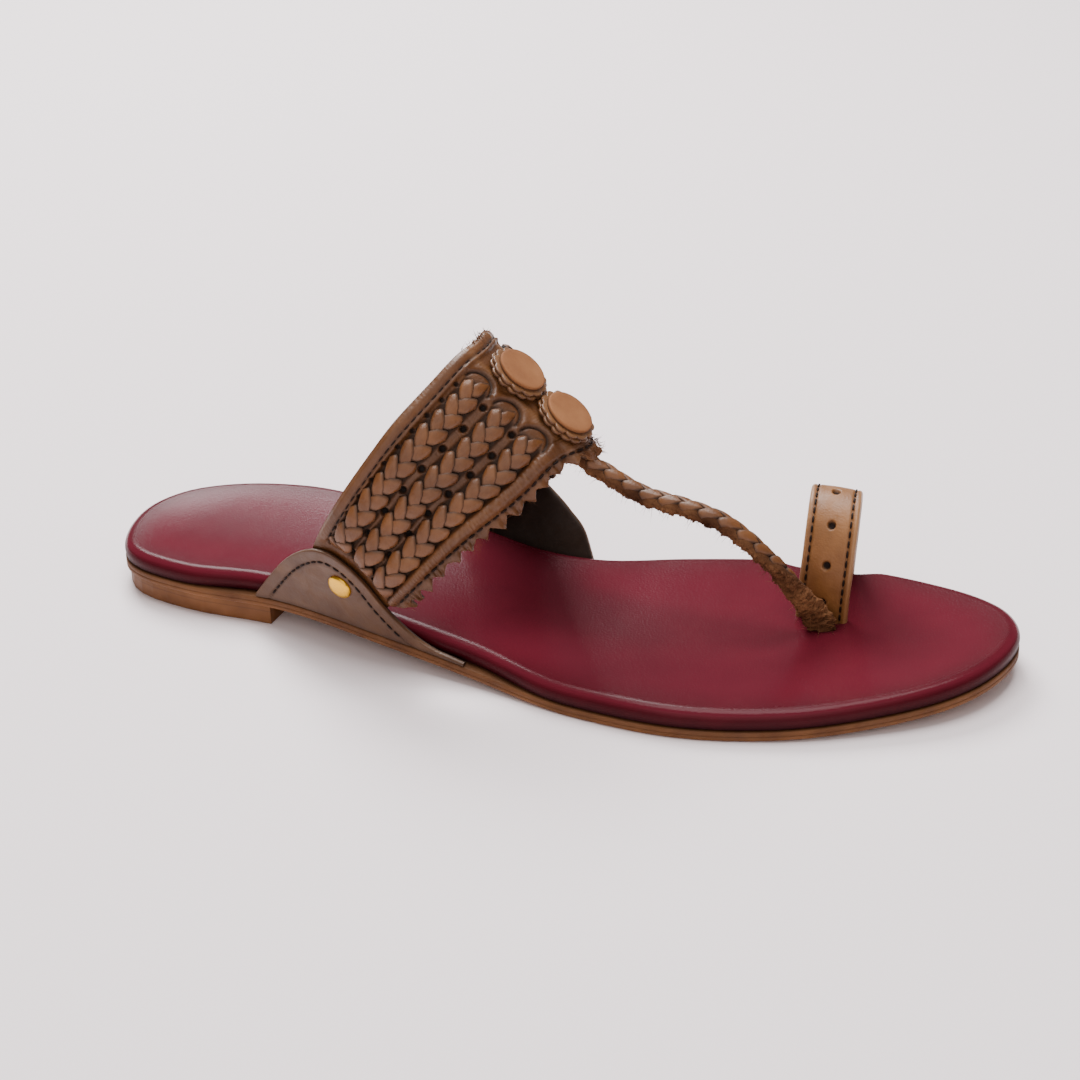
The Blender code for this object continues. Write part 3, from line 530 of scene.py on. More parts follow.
STRAP = leather("waxed_light_brown_strap_leather", ("#6C4421", "#7C5029", "#8B5C32"), "#180A04",
                0.55, 0.07, 0.48, gloss=0.04, specular=0.42, highlight_tone="#B98F68")
WING = leather("smooth_grey_brown_cowhide", ("#472A16", "#52341D", "#5E3E24"), "#100502",
               0.50, 0.045, 0.45, specular=0.42, highlight_tone="#7E6048")
TAN = leather("bark_tanned_sole_leather", ("#5F3718", "#6E431F", "#7D4F29"), "#2C170A",
              0.45, 0.03, 0.55, crease=0.25, specular=0.35)
THREAD = leather("waxed_dark_thread", ("#140A06", "#1D0E09", "#26150E"), "#0A0402",
                 0.25, 0.03, 0.65, specular=0.2)

BRASS_DENT, BRASS_SCRATCH = 1.1111 * MM, 0.2381 * MM


def brass_finish():
    """Rolled brass sheet, lightly hammered: yellow metal whose shine breaks up softly."""
    material, tree, shader = start_finish("hammered_brass_sheet")
    place = add(tree, "ShaderNodeTexCoord").outputs["Object"]
    dents = add(tree, "ShaderNodeTexNoise", {
        "Vector": place, "Scale": 1 / BRASS_DENT, "Detail": 2.0})
    scratch = add(tree, "ShaderNodeTexNoise", {
        "Vector": place, "Scale": 1 / BRASS_SCRATCH, "Detail": 4.0})
    hammer = add(tree, "ShaderNodeBump", {
        "Height": dents.outputs["Fac"], "Strength": 0.6, "Distance": 0.12 * MM})
    rough = add(tree, "ShaderNodeMapRange", {
        "Value": scratch.outputs["Fac"], "To Min": 0.20, "To Max": 0.42})
    shader.inputs["Base Color"].default_value = linear("#E2AE3C")
    shader.inputs["Metallic"].default_value = 1.0
    tree.links.new(rough.outputs["Result"], shader.inputs["Roughness"])
    tree.links.new(hammer.outputs["Normal"], shader.inputs["Normal"])
    return material


BRASS = brass_finish()
print("finishes:", len(bpy.data.materials))

# %% [markdown]
# The sole is made of plates.  A plate is a stack of rings: each ring is the outline moved
# inward by an inset and lifted to a height, and the top closes on the middle line.  A plate
# may step in at its side wherever a wing or the toe ring passes.

# %% Build a plate from rings
RING_X, RING_SKEW, RING_OUTER_Y = 167.5 * MM, 6.0 * MM, 15.6 * MM
RING_WIDTH, RING_THICK = 14 * MM, 2.2 * MM
SLOT_GAP, RING_SOFT, WING_SOFT = 0.5 * MM, 9 * MM, 26 * MM
INSOLE_ROUND, INSOLE_DISH = 3.0 * MM, 1.1 * MM
SLOT_PLACE, SLOT_DENT = np.array([168.5, 12.6]) * MM, 1.4 * MM
SPINE_START, SPINE_END = 22 * MM - HEEL_BEHIND, SHOE_LENGTH - HEEL_BEHIND - 30 * MM
GROOVE_HALF, GROOVE_DEPTH = 0.15 * MM, 0.12 * MM


def outline_loop(steps):
    """Outline from the heel along the outer side to the toe and back: points and sides."""
    turn = np.linspace(0, 1, steps + 1)
    x = SHOE_LENGTH * (1 - np.cos(math.pi * turn)) / 2 - HEEL_BEHIND
    outer = np.stack([x, sole_edge(x, -1)], 1)
    inner = np.stack([x, sole_edge(x, 1)], 1)[::-1]
    return np.concatenate([outer[:-1], inner[:-1]]), np.repeat([-1.0, 1.0], steps)


def insole_rebate(x, sides):
    """Inward step: the wing's wall, or the ring's strap, eased on at the stretch's ends."""
    depth = np.zeros_like(x)
    reach = RING_WIDTH / 2 + SLOT_GAP
    leg = RING_X - RING_SKEW
    stretches = [(1, leg - reach, leg + reach, RING_THICK + SLOT_GAP, RING_SOFT)]
    for side in (-1, 1):
        start = float(wing_start(side)) - SEAM_GAP
        end = start + WING_LENGTH + 2 * SEAM_GAP
        stretches.append((side, start, end, WING_WALL + SEAM_GAP, WING_SOFT))
    for side, start, end, wall, soft in stretches:
        rise = ease((x - start) / soft + 1) * ease((end - x) / soft + 1)
        depth = np.maximum(depth, np.where(sides == side, wall * rise, 0))
    return depth


def plate(levels, steps=220, shares=40, step_in=None, dip=None):
    """Rings from the underside's middle round the edge to the top's middle.

    levels holds pairs of an inset and a height above the sole's underside.  dip gives how far
    the top lies lower at a place (x, y) and a share from middle to rim.
    """
    loop, sides = outline_loop(steps)
    along = unit(np.roll(loop, -1, 0) - np.roll(loop, 1, 0))
    normal = np.stack([along[:, 1], -along[:, 0]], 1)
    base_inset = step_in(loop[:, 0], sides) if step_in else np.zeros(len(loop))
    spine_x = np.clip(loop[:, 0], SPINE_START, SPINE_END)
    spine = np.stack([spine_x, sole_middle(spine_x)], 1)
    rings = []

    def lay(level, share, lower=None):
        inset, up = level
        ring = spine + (loop - normal * (inset + base_inset)[:, None] - spine) * share
        z = sole_bottom(ring[:, 0]) + up - (lower(ring, share) if lower else 0)
        rings.append(np.column_stack([ring, z]))

    for share in np.linspace(0.02, 0.9, 8):
        lay(levels[0], share)
    for level in levels:
        lay(level, 1.0)
    for share in np.linspace(0.985, 0.004, shares):
        lay(levels[-1], share, dip)
    return np.stack(rings)


print("plates close between x in mm:", round(SPINE_START * 1000), round(SPINE_END * 1000))

# %% [markdown]
# The insole is a padded plate of burgundy leather: its rim is rounded, and its top is a
# shallow dish with a dip where the toe cord goes in.  The outsole is two thin sheets of sole
# leather glued together.  Both could be cut from a block, but rings follow the edge evenly.

# %% Make the insole and the outsole
def slot_distance(x, y, stretch):
    """Distance from the toe slot, shorter along the shoe by the stretch."""
    return np.hypot((x - SLOT_PLACE[0]) / stretch, y - SLOT_PLACE[1])


def insole_dip(ring, share):
    """A shallow dish, deepest in the middle, and a dip at the toe slot."""
    slot = slot_distance(ring[:, 0], ring[:, 1], 1.5)
    return INSOLE_DISH * (1 - share**2) + SLOT_DENT * bump(slot, 2.8 * MM)


def make_insole():
    """Padded burgundy insole: rounded rim as a quarter circle from side to top."""
    base = OUTSOLE_THICK + SEAM_GAP
    levels = [(0.6 * MM, base), (0.2 * MM, base + 0.4 * MM)]
    for angle in np.radians(np.linspace(0, 90, 9)):
        drop = INSOLE_ROUND * (1 - math.sin(angle))
        levels.append((INSOLE_ROUND * (1 - math.cos(angle)), base + INSOLE_THICK - drop))
    grid = plate(levels, step_in=insole_rebate, dip=insole_dip)
    above = grid[..., 2] - outsole_top(grid[..., 0])
    # painted shade in the toe slot and in the seam at the rim's foot, and painted highlights along
    # the rounded rim
    dark = 0.75 * bump(slot_distance(grid[..., 0], grid[..., 1], 1.6), 2.4 * MM) * (above > MM)
    rim = 0.8 * bump(above - SEAM_GAP, 0.9 * MM)
    edge = 0.5 * bump(insole_top(grid[..., 0]) - grid[..., 2] - 0.7 * MM, 0.8 * MM)
    piece = tube_piece("insole_pad", grid, LINING, np.maximum(dark, rim), edge, laddered=True)
    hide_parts("insole")


def make_outsole():
    """Two thin tan sheets: a fine groove runs round the edge between them."""
    groove = 0.5 * OUTSOLE_THICK
    levels = [
        (0.5 * MM, 0), (0, 0.4 * MM), (0, groove - GROOVE_HALF), (GROOVE_DEPTH, groove),
        (0, groove + GROOVE_HALF), (0, OUTSOLE_THICK - 0.25 * MM), (0.25 * MM, OUTSOLE_THICK),
    ]
    grid = plate(levels, shares=8)
    level = (grid[..., 2] - sole_bottom(grid[..., 0])) / OUTSOLE_THICK
    # painted shade in the groove between the sheets and in the seam under the insole
    shade = 0.45 * bump(level - 0.5, 0.08) + 0.5 * bump(level - 1.0, 0.12)
    piece = tube_piece("outsole_sheets", grid, TAN, shade, laddered=True)
    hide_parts("outsole")


make_insole()
make_outsole()

# %% [markdown]
# The heel block keeps its solid: its shape is right, and only its finish is new.  It is
# stacked from layers of sole leather, so thin dark lines run round it.

# %% Finish the heel block
HEEL_LAYER = 1.9 * MM


def stacked_finish():
    """Stacked leather: a saw of bands along z, one for each 1.9 mm layer, over tan hide."""
    material = TAN.copy()
    material.name = "stacked_tan_heel_leather"
    tree = material.node_tree
    shader = tree.nodes["Principled BSDF"]
    place = add(tree, "ShaderNodeTexCoord").outputs["Object"]
    bands = add(tree, "ShaderNodeTexWave", {
        "Vector": place, "Scale": 0.5 / HEEL_LAYER / math.pi, "Distortion": 0.6},
        bands_direction="Z", wave_profile="SAW")
    lines = add(tree, "ShaderNodeValToRGB", {"Fac": bands.outputs["Fac"]})
    fill_ramp(lines, ((0.0, 0.55), (0.12, 1.0)))
    colour = shader.inputs["Base Color"].links[0].from_socket
    mixed = add(tree, "ShaderNodeMix", {"Factor": 0.8, "A": colour, "B": lines.outputs["Color"]},
                data_type="RGBA", blend_type="MULTIPLY")
    tree.links.new(mixed.outputs["Result"], shader.inputs["Base Color"])
    return material


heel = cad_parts["heel_block"]
heel.data.materials.clear()
heel.data.materials.append(stacked_finish())
print("heel block finished:", heel.data.materials[0].name)

# %% [markdown]
# The band is one wall.  Its outer face carries what the maker did to it: the rear edge is
# folded over and stitched, a padded ridge runs along the front, and the front edge is cut
# into teeth.  Round holes are punched between the plaits and small nicks behind them, and
# each plait comes up through a U-shaped slit.  All of it is height added to the ruled face,
# with painted shade that darkens what lies deep and painted highlights on edges and folds.

# %% Work out the band's relief
HOLE_LINES, HOLE_COUNT, HOLE_FIRST = (0.40, 0.68), 9, 14.5 * MM
HOLE_PITCH, HOLE_WIDTH, HOLE_DEPTH = 7.4 * MM, 2.2 * MM, 1.5 * MM
NICK_LINE, NICK_COUNT, NICK_FIRST = 0.145, 12, 15 * MM
NICK_PITCH, NICK_WIDTH, NICK_DEPTH = 5.5 * MM, 1.5 * MM, 0.8 * MM
PLAIT_TOP, WALK_LENGTH = 0.118, 98 * MM
SLIT_REACH, SLIT_WIDTH, SLIT_DEPTH = 3.9 * MM, 0.38 * MM, 0.7 * MM
STITCH_REAR, STITCH_FRONT, STITCH_GROOVE = 3.2 * MM, -1.3 * MM, 0.40 * MM
RIM_RISE, RIM_REACH, WELT_RISE = 0.7 * MM, 3.9 * MM, 1.5 * MM
FOLD_WALK = 0.062
TOOTH_PITCH, TOOTH_START, TOOTH_DEPTH = 5.0 * MM, 2.4 * MM, 2.3 * MM


def punched(across, first, pitch, count, last=0.76):
    """Centres of punched holes: even steps along a line, out from the crest on both sides."""
    walks, run = line_table(across)
    steps = first + pitch * np.arange(count)
    walk = np.interp(np.interp(0, walks, run) + np.concatenate([-steps, steps]), run, walks)
    return band_face(walk[np.abs(walk) < last], across)


def pit_depth(face, centres, width):
    """1 inside a hole and 0 outside, from the distance to the nearest centre."""
    near = np.full(face.shape[:-1], 1.0)
    for centre in centres:
        near = np.minimum(near, np.linalg.norm(face - centre, axis=-1))
    return 1 - ease((near - 0.30 * width) / (0.28 * width))


def band_relief(walk, across):
    """Rise, shade and rub of the outer face, from distances to edges, plaits and holes."""
    width = band_width(walk)
    rear, front = across * width, (1 - across) * width
    clear = wing_clearance(walk, across)
    ripple = np.sin(walk * 260 + 9 * np.sin(walk * 37)) * np.sin(walk * 91)
    wrinkle = 0.6 * ripple + 0.4 * np.sin(walk * 410 + 14 * across + 5 * np.sin(walk * 53))
    # the folded rear rim, the padded ridge, and the grooves of the two seams, with painted shade
    # in the grooves
    rise = RIM_RISE * clear * (1 - ease((rear - RIM_REACH) / MM))
    rise = rise - 0.8 * MM * clear * (1 - ease(rear / (1.6 * MM))) ** 2
    off_crest = ease((np.abs(walk) - 0.10) / 0.05)
    last = BRAID_ACROSS[-1] * width + 3.3 * MM
    inside = np.clip((across * width - last) / np.maximum(width - last - STITCH_FRONT, MM), 0, 1)
    ridge = np.sin(math.pi * inside**0.8) ** 0.7 * (0.35 + 0.65 * off_crest)
    rise = rise + ridge * clear * (WELT_RISE + 0.13 * MM * wrinkle)
    seams = bump(rear - STITCH_REAR, STITCH_GROOVE) + bump(front - STITCH_FRONT, STITCH_GROOVE)
    rise = rise - STITCH_GROOVE * seams * clear
    shade = 0.45 * seams * clear
    # a slit round each plait's top, a lip beside it, and a sunk bed under the lobes; painted shade
    # darkens the slit and the bed
    for middle in BRAID_ACROSS:
        aside = np.abs(across - middle) * width
        past = (PLAIT_TOP - np.abs(walk)) * WALK_LENGTH
        reach = np.hypot(aside, np.maximum(past, 0))
        slit = bump(reach - SLIT_REACH, SLIT_WIDTH) * ease(past / (1.5 * MM) + 0.8)
        under = (1 - ease((aside - 3.1 * MM) / MM)) * ease(0.5 - past / (2 * MM))
        lip = bump(reach - SLIT_REACH - 1.3 * MM, MM) * ease(past / MM)
        rise = rise - SLIT_DEPTH * slit + 0.35 * MM * (lip - under * clear)
        shade = np.maximum(shade, np.maximum(0.9 * slit, 0.7 * under * clear))
    # the folds on both sides of the crest, and painted highlights on them, on the ridge's wrinkles
    # and along the rear edge
    crown = bump(np.abs(walk) - FOLD_WALK, 0.012)
    rise = rise + (0.30 * MM + 0.10 * MM * np.sin(across * 420 + 30 * walk)) * crown
    rise = rise + 0.05 * MM * wrinkle * clear
    painted_highlight = 0.20 * crown * (0.7 + 0.3 * np.sin(across * 310)) + 0.10 * ridge * np.clip(wrinkle, 0, 1)
    painted_highlight = painted_highlight + 0.06 * bump(rear - 0.5 * MM, 0.7 * MM)
    # the holes and nicks are sunk and painted dark: painted shade inside them
    face = band_face(walk, across)
    holes = [punched(line, HOLE_FIRST, HOLE_PITCH, HOLE_COUNT) for line in HOLE_LINES]
    pit = pit_depth(face, np.concatenate(holes), HOLE_WIDTH)
    nicks = pit_depth(face, punched(NICK_LINE, NICK_FIRST, NICK_PITCH, NICK_COUNT), NICK_WIDTH)
    shade = np.maximum(shade, np.maximum(pit, 0.9 * nicks))
    return rise - HOLE_DEPTH * pit - NICK_DEPTH * nicks, shade, np.clip(painted_highlight, 0, 1) * (1 - shade)


print("lines of holes and nicks on the band:", len(HOLE_LINES) + 1)

# %% [markdown]
# The wall is one tube, so that it has no open edge.  Its section starts at the rear, runs
# over the outer face and out into the teeth, turns round their cut edge, and comes back along
# the inside to the fold.  The teeth are a margin of the wall that grows and shrinks.

# %% Make the band's wall
def tooth_reach(walk):
    """Pinked edge: a margin, then pointed teeth as a triangle wave of the run, less near wings."""
    walks, run = line_table(1.0)
    along = np.interp(walk, walks, run) - np.interp(0, walks, run)
    phase = along / TOOTH_PITCH + 0.06 * np.sin(along * 310) + 0.05 * np.sin(along * 830)
    tooth = 1 - np.abs(2 * (phase - np.floor(phase)) - 1)
    ragged = np.random.default_rng(4).normal(0, 0.06, np.shape(walk)) * MM
    size = 1 + 0.16 * np.sin(along * 190 + 1) + 0.08 * np.sin(along * 517)
    return (TOOTH_START + TOOTH_DEPTH * tooth**1.15 * size + ragged) * wing_clearance(walk, 1.0)


def make_band():
    """The wall's section is a loop: outer face and teeth, front edge, inside, rear fold."""
    outer, inner = np.linspace(0, 1, 110), np.linspace(1, 0, 12)
    margin = np.linspace(0, 1, 7)[1:]
    turn, fold = np.linspace(0, math.pi, 5)[1:-1], np.linspace(0, math.pi, 7)[1:-1]
    loop = (outer, 1 + 0 * margin, 1 + 0 * turn, 1 + 0 * margin, inner, 0 * fold)
    walk, across = np.broadcast_arrays(np.linspace(-1, 1, 620)[:, None], np.concatenate(loop))
    starts = np.cumsum([0] + [len(stretch) for stretch in loop])
    part = [slice(*pair) for pair in zip(starts[:-1], starts[1:])]
    reach = np.maximum(tooth_reach(walk[:, 0]), 0.06 * MM)[:, None]
    half, edge_half = BAND_WALL / 2, 0.62 * MM
    push = np.zeros(across.shape)
    push[:, part[1]] = reach * margin
    push[:, part[2]] = reach + 0.25 * MM * np.sin(turn)
    push[:, part[3]] = reach * margin[::-1]
    push[:, part[5]] = half * (1 - np.sin(fold)) * 0.6
    wide = across + push / band_width(walk)
    rise, shade, painted_highlight = band_relief(walk, wide)
    curl = 0.35 * MM * np.sin(walk * 190 + 3 * np.sin(walk * 47)) * (push / (3 * MM)) ** 2
    lift = np.where(np.arange(across.shape[1]) < starts[2], rise, -BAND_WALL)
    lift[:, part[1]] += (curl - 0.5 * MM * push / (3 * MM))[:, part[1]]
    outer_edge = lift[:, starts[2] - 1:starts[2]]
    lift[:, part[2]] = outer_edge - edge_half + edge_half * np.cos(turn)
    thinned = (BAND_WALL - 2 * edge_half) * (1 - margin[::-1]) ** 2
    lift[:, part[3]] = outer_edge - 2 * edge_half - thinned
    lift[:, part[5]] = -half - half * np.cos(fold)
    # painted shade on the inside of the wall, the cut front edge and the rear fold, and a painted
    # highlight on the cut edge
    shade[:, starts[2]:], shade[:, part[2]], shade[:, part[5]] = 0.72, 0.30, 0.15
    painted_highlight[:, part[2]] = 0.25
    grid = band_face(walk, wide) + band_out(walk, wide) * lift[..., None]
    piece = tube_piece("band_wall", grid, BAND, shade, painted_highlight)
    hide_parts("upper_band")


make_band()

# %% [markdown]
# A plait of three laces shows two rows of lobes that meet in a V.  Each lobe is one turn of
# a lace: it comes up at the outer side, crosses the middle and dives under the next lobe of
# the other side.  So a plait is drawn as that one lobe, repeated, each carried by the face.

# %% Shape one lobe and lay the plaits on the band
LOBE_PITCH, LOBE_THICK, LOBE_PAST = 5.5 * MM, 1.35 * MM, 1.0 * MM


def lobes(stations, pitch=LOBE_PITCH, side_reach=3.3 * MM, travel=3.5 * MM, seed=3):
    """Lobes as closed pads in strip coordinates: run, aside and height in metres.

    v goes 0 to 1 along a lobe, down the strip and from its outer side past the middle.  Its
    section w is measured along the strip, so that neighbours of one side just meet.  Each lobe
    tilts: its upper edge lies over the lobe before it and its lower edge under the next one.
    """
    chance = np.random.default_rng(seed)
    v = np.array([0.0, 0.05, 0.13, 0.25, 0.42, 0.60, 0.78, 0.92, 1.0])[None, :, None]
    u = circle(12)[None, None]
    count = len(stations)
    sign = np.where(np.arange(count) % 2 == 0, 1.0, -1.0)[:, None, None]
    start = np.asarray(stations)[:, None, None]
    size = 1 + chance.normal(0, 0.035, (count, 1, 1))
    w = np.sign(np.cos(u)) * np.abs(np.cos(u)) ** 0.72
    thick = np.sign(np.sin(u)) * np.abs(np.sin(u)) ** 0.72
    taper = np.clip(1 - (1 - np.clip(v / 0.34, 0, 1)) ** 2, 0, 1) ** 0.55 * 0.80 + 0.20
    taper = taper * (1 - 0.35 * ease((v - 0.8) / 0.2))
    run = start + (v - 0.45) * travel * size + w * taper * pitch / 2 * 0.99
    bow = 0.55 * MM * (1 - w**2)
    aside = sign * (side_reach * size + bow * (1 - v) - (side_reach + LOBE_PAST) * v)
    over = ease((v - 0.30) / 0.35)
    height = (0.55 + 0.75 * ease(v / 0.30) - 0.25 * ease((v - 0.75) / 0.25)) * MM
    height = height - 0.42 * MM * w * over + chance.normal(0, 0.07, (count, 1, 1)) * MM
    height = height + thick * (0.40 + 0.60 * taper) * LOBE_THICK / 2
    # painted shade in the creases between lobes, where a lobe dives under the next, at its start
    # and on its underside; painted highlights along its upper edges
    rim = ease((np.abs(w) - 0.72) / 0.28)
    shade = 0.85 * rim * (thick < 0.75) + 0.75 * ease((v - 0.68) / 0.28) * (w > 0.1)
    shade = shade + 0.5 * ease((0.10 - v) / 0.10) + 0.9 * (thick < -0.3)
    painted_highlight = 0.13 * bump(np.abs(w) - 0.78, 0.16) * (thick > 0) * (v > 0.05) * (v < 0.9)
    shade = np.clip(shade, 0, 1)
    return run, aside, height, shade, painted_highlight * (1 - shade)


def make_plaits():
    """Three plaits a side: strip coordinates are turned into walk and across of the face."""
    for side, label in ((-1, "outer"), (1, "inner")):
        for number, middle in enumerate(BRAID_ACROSS):
            walks, run_table = line_table(middle)
            top = np.interp(side * PLAIT_TOP, walks, run_table)
            foot = side * np.linspace(0.6, 0.85, 80)
            reach = np.abs(np.interp(foot, walks, run_table) - top)
            length = float(reach[wing_clearance(foot, middle, MM) < 0.5][0]) + 1.5 * MM
            stations = np.arange(0.6 * MM, length, LOBE_PITCH / 2)
            run, aside, height, shade, painted_highlight = lobes(stations, seed=7 + number + 5 * (side > 0))
            walk = np.interp(top + side * run, run_table, walks)
            crowd = np.minimum(1.0, 0.262 * band_width(walk) / (7.2 * MM))
            narrow = 0.62 + 0.38 * ease(run / (5 * MM) + 0.3)
            across = middle + aside * crowd * narrow / band_width(walk)
            sunk = 1 - ease((0.6 * MM - run) / (3.2 * MM))
            low = wing_clearance(walk, across, 5 * MM)
            height = height * (0.25 + 0.75 * low) * sunk - 0.9 * MM * (1 - low)
            face = band_face(walk, across) + band_out(walk, across) * height[..., None]
            piece = tube_piece(f"plait_{label}_{number + 1}", face, LACE, shade, painted_highlight)
            print("lobes in the plait:", len(stations))


make_plaits()

# %% [markdown]
# Stitches are short lengths of thread that sit in their own groove.  One stitch is a small
# oval pad.  Any line of points on a piece can be sewn with it.

# %% Sew any line
def sew(name, line, out, pitch=2.6 * MM, long=1.9 * MM, thick=0.62 * MM, lift=0.1 * MM):
    """Pads at even steps of the line: long along it, and round across it."""
    run = run_along(line)
    places = np.arange(pitch / 2, run[-1], pitch)
    point, up = read_along(places, run, line), read_along(places, run, out)
    ahead = unit(read_along(places + 0.4 * MM, run, line) - point)
    over = np.cross(up, ahead)
    v = np.linspace(0.06, 0.94, 6)[None, :, None] * math.pi
    u = circle(6)[None, None]
    along = -np.cos(v) * long / 2 + 0 * u
    side = np.sin(v) ** 0.6 * np.cos(u) * thick / 2
    high = np.sin(v) ** 0.6 * np.sin(u) * thick / 2 + lift
    parts = (ahead, over, up)
    grid = point[:, None, None] + sum(
        a[:, None, None] * b[..., None] for a, b in zip(parts, (along, side, high)))
    return tube_piece(name, grid, THREAD)


def sew_band():
    """Two rows on the band: inside the rear fold and along the front edge."""
    walk = np.linspace(-0.79, 0.79, 900)
    walk = walk[wing_clearance(walk, 0.5) > 0.1]
    width = band_width(walk)
    for label, across, lift in (
        ("rear", STITCH_REAR / width, 0.15 * MM),
        ("front", 1 - STITCH_FRONT / width, 0.0),
    ):
        out = band_out(walk, across)
        sew(f"band_stitches_{label}", band_face(walk, across) + out * lift, out)


sew_band()

# %% [markdown]
# The wings are plain flaps, so their looks come from their edge: a rounded cut edge, a row
# of stitches a few millimetres inside it, and a soft groove where the thread pulls.

# %% Make and sew the wings
WING_SEAM = 3.8 * MM


def bell_line(side, count=240):
    """The wing's edge in its own plane: along and up, with its inward direction."""
    x = float(wing_start(side)) + WING_LENGTH * np.linspace(0, 1, count)
    line = np.stack([x, wing_top(x, side)], 1)
    along = unit(np.gradient(line, axis=0))
    return line, np.stack([along[:, 1], -along[:, 0]], 1)


def wing_point(x, up, side):
    """A place on the wing's outer face from its place along and its height."""
    z = outsole_top(x) + up
    return np.stack([x, wing_face(x, z, side), z], -1)


def make_wing(label, side):
    """The wall's section at each x: up the outer face, round the edge, down the inside."""
    line, inward = bell_line(side)
    x = line[:, :1]
    outer = np.linspace(0, 1, 44)
    inner, turn = outer[::-3], np.linspace(0, math.pi, 7)[1:-1]
    half, edge_rise = WING_WALL / 2, 0.5 * MM
    share = np.concatenate([outer, 1 + 0 * turn, inner])[None]
    depth = np.concatenate([0 * outer, half - half * np.cos(turn), WING_WALL + 0 * inner])[None]
    over = np.concatenate([0 * outer, edge_rise * np.sin(turn), 0 * inner])[None]
    up = SEAM_GAP + (wing_top(x, side) - SEAM_GAP - edge_rise) * share + over
    z = outsole_top(x) + up
    y = wing_face(x, z, side) - side * depth
    seam_line = line + inward * WING_SEAM
    flat = np.stack([np.broadcast_to(x, up.shape), up], -1)
    near = np.full(up.shape, 1.0)
    for spot in seam_line[::2]:
        near = np.minimum(near, np.linalg.norm(flat - spot, axis=-1))
    groove = bump(near, 0.55 * MM) * (share <= 1) * (depth < half)
    y = y - side * 0.28 * MM * groove
    # painted shade in the stitch groove, on the inside of the wall and where the wing meets the
    # sole
    shade = 0.4 * groove + np.where(depth > half * 1.2, 0.85, 0.0)
    shade = np.maximum(shade, 0.35 * bump(up - SEAM_GAP, 0.8 * MM))
    grid = np.stack([np.broadcast_to(x, up.shape), y, z], -1)
    piece = tube_piece(f"wing_flap_{label}", grid, WING, shade)
    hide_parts(f"wing_{label}")
    keep = (seam_line[:, 1] > 1.6 * MM) & (np.arange(len(line)) > 8)
    x_seam, up_seam = seam_line[keep, 0], seam_line[keep, 1]
    face = wing_point(x_seam, up_seam, side)
    above = wing_point(x_seam, up_seam + 0.3 * MM, side) - face
    ahead = wing_point(x_seam + 0.3 * MM, up_seam, side) - face
    out = unit(np.cross(ahead, above) * -side)
    piece = sew(f"wing_stitches_{label}", face, out, lift=-0.1 * MM)


make_wing("lateral", -1)
make_wing("medial", 1)

# %% [markdown]
# Turned pieces, such as a rivet or a round cap, are a profile of radius and height swept
# round an axis.  The axis is the outward direction of the face that the piece sits on.

# %% Turn a profile about a face's outward direction
def turned(place, out, radius, height, sides=48, lobes_count=0, lobe_depth=0.0, phase=0.0):
    """Grid of rings round the axis; the sine of half the angle can scallop the radius."""
    out = Vector(out).normalized()
    turn = np.array(out.to_track_quat("Z", "X").to_matrix())
    angle = circle(sides)[None]
    radius, height = np.asarray(radius)[:, None], np.asarray(height)[:, None]
    wave = np.abs(np.sin(lobes_count * angle / 2 + phase)) ** 0.6
    uneven = 1 + 0.3 * np.sin(3 * angle + 5 * phase)
    wide = radius - lobe_depth * (1 - wave) * uneven * (radius > 6 * MM)
    local = np.stack([wide * np.cos(angle), wide * np.sin(angle), height + 0 * angle], -1)
    return np.asarray(place) + local @ turn.T


RIVET_HEAD, RIVET_RIM, RIVET_DOME = 3.55 * MM, 0.3 * MM, 0.9 * MM


def make_rivet(label, side):
    """Brass rivet: a low domed head outside, a shank, and a burr inside the band."""
    x = float(wing_start(side)) + RIVET_ALONG * WING_LENGTH
    z = float(outsole_top(np.array(x))) + RIVET_UP * WING_HEIGHT
    places = np.array([[x, z], [x + MM, z], [x, z + MM]])
    y = wing_face(places[:, 0], places[:, 1], side)
    place, ahead, above = np.stack([places[:, 0], y, places[:, 1]], 1)
    out = np.cross(ahead - place, above - place) * -side
    inside = -(WING_WALL + BAND_WALL + 0.9 * MM)
    burr = np.array([0.8, 0.75, 0.5, 0, 0]) * MM
    dome = np.radians(np.linspace(20, 88, 6))
    radius = np.concatenate([np.array([0.02, 2.3, 2.8, 2.8, 1.5, 1.5]) * MM,
                             [RIVET_HEAD, RIVET_HEAD], RIVET_HEAD * np.cos(dome) ** 0.55])
    height = np.concatenate([inside - burr, [0, 0, RIVET_RIM],
                             RIVET_RIM + RIVET_DOME * np.sin(dome)])
    piece = tube_piece(f"rivet_brass_{label}", turned(place, out, radius, height), BRASS)
    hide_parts(f"rivet_{label}")


make_rivet("lateral", -1)
make_rivet("medial", 1)

# %% [markdown]
# A rosette is a thick leather washer with a scalloped rim, laid in two layers, and a smooth
# round cap of buffed leather on it.  Two sit on the crest, one behind the other.

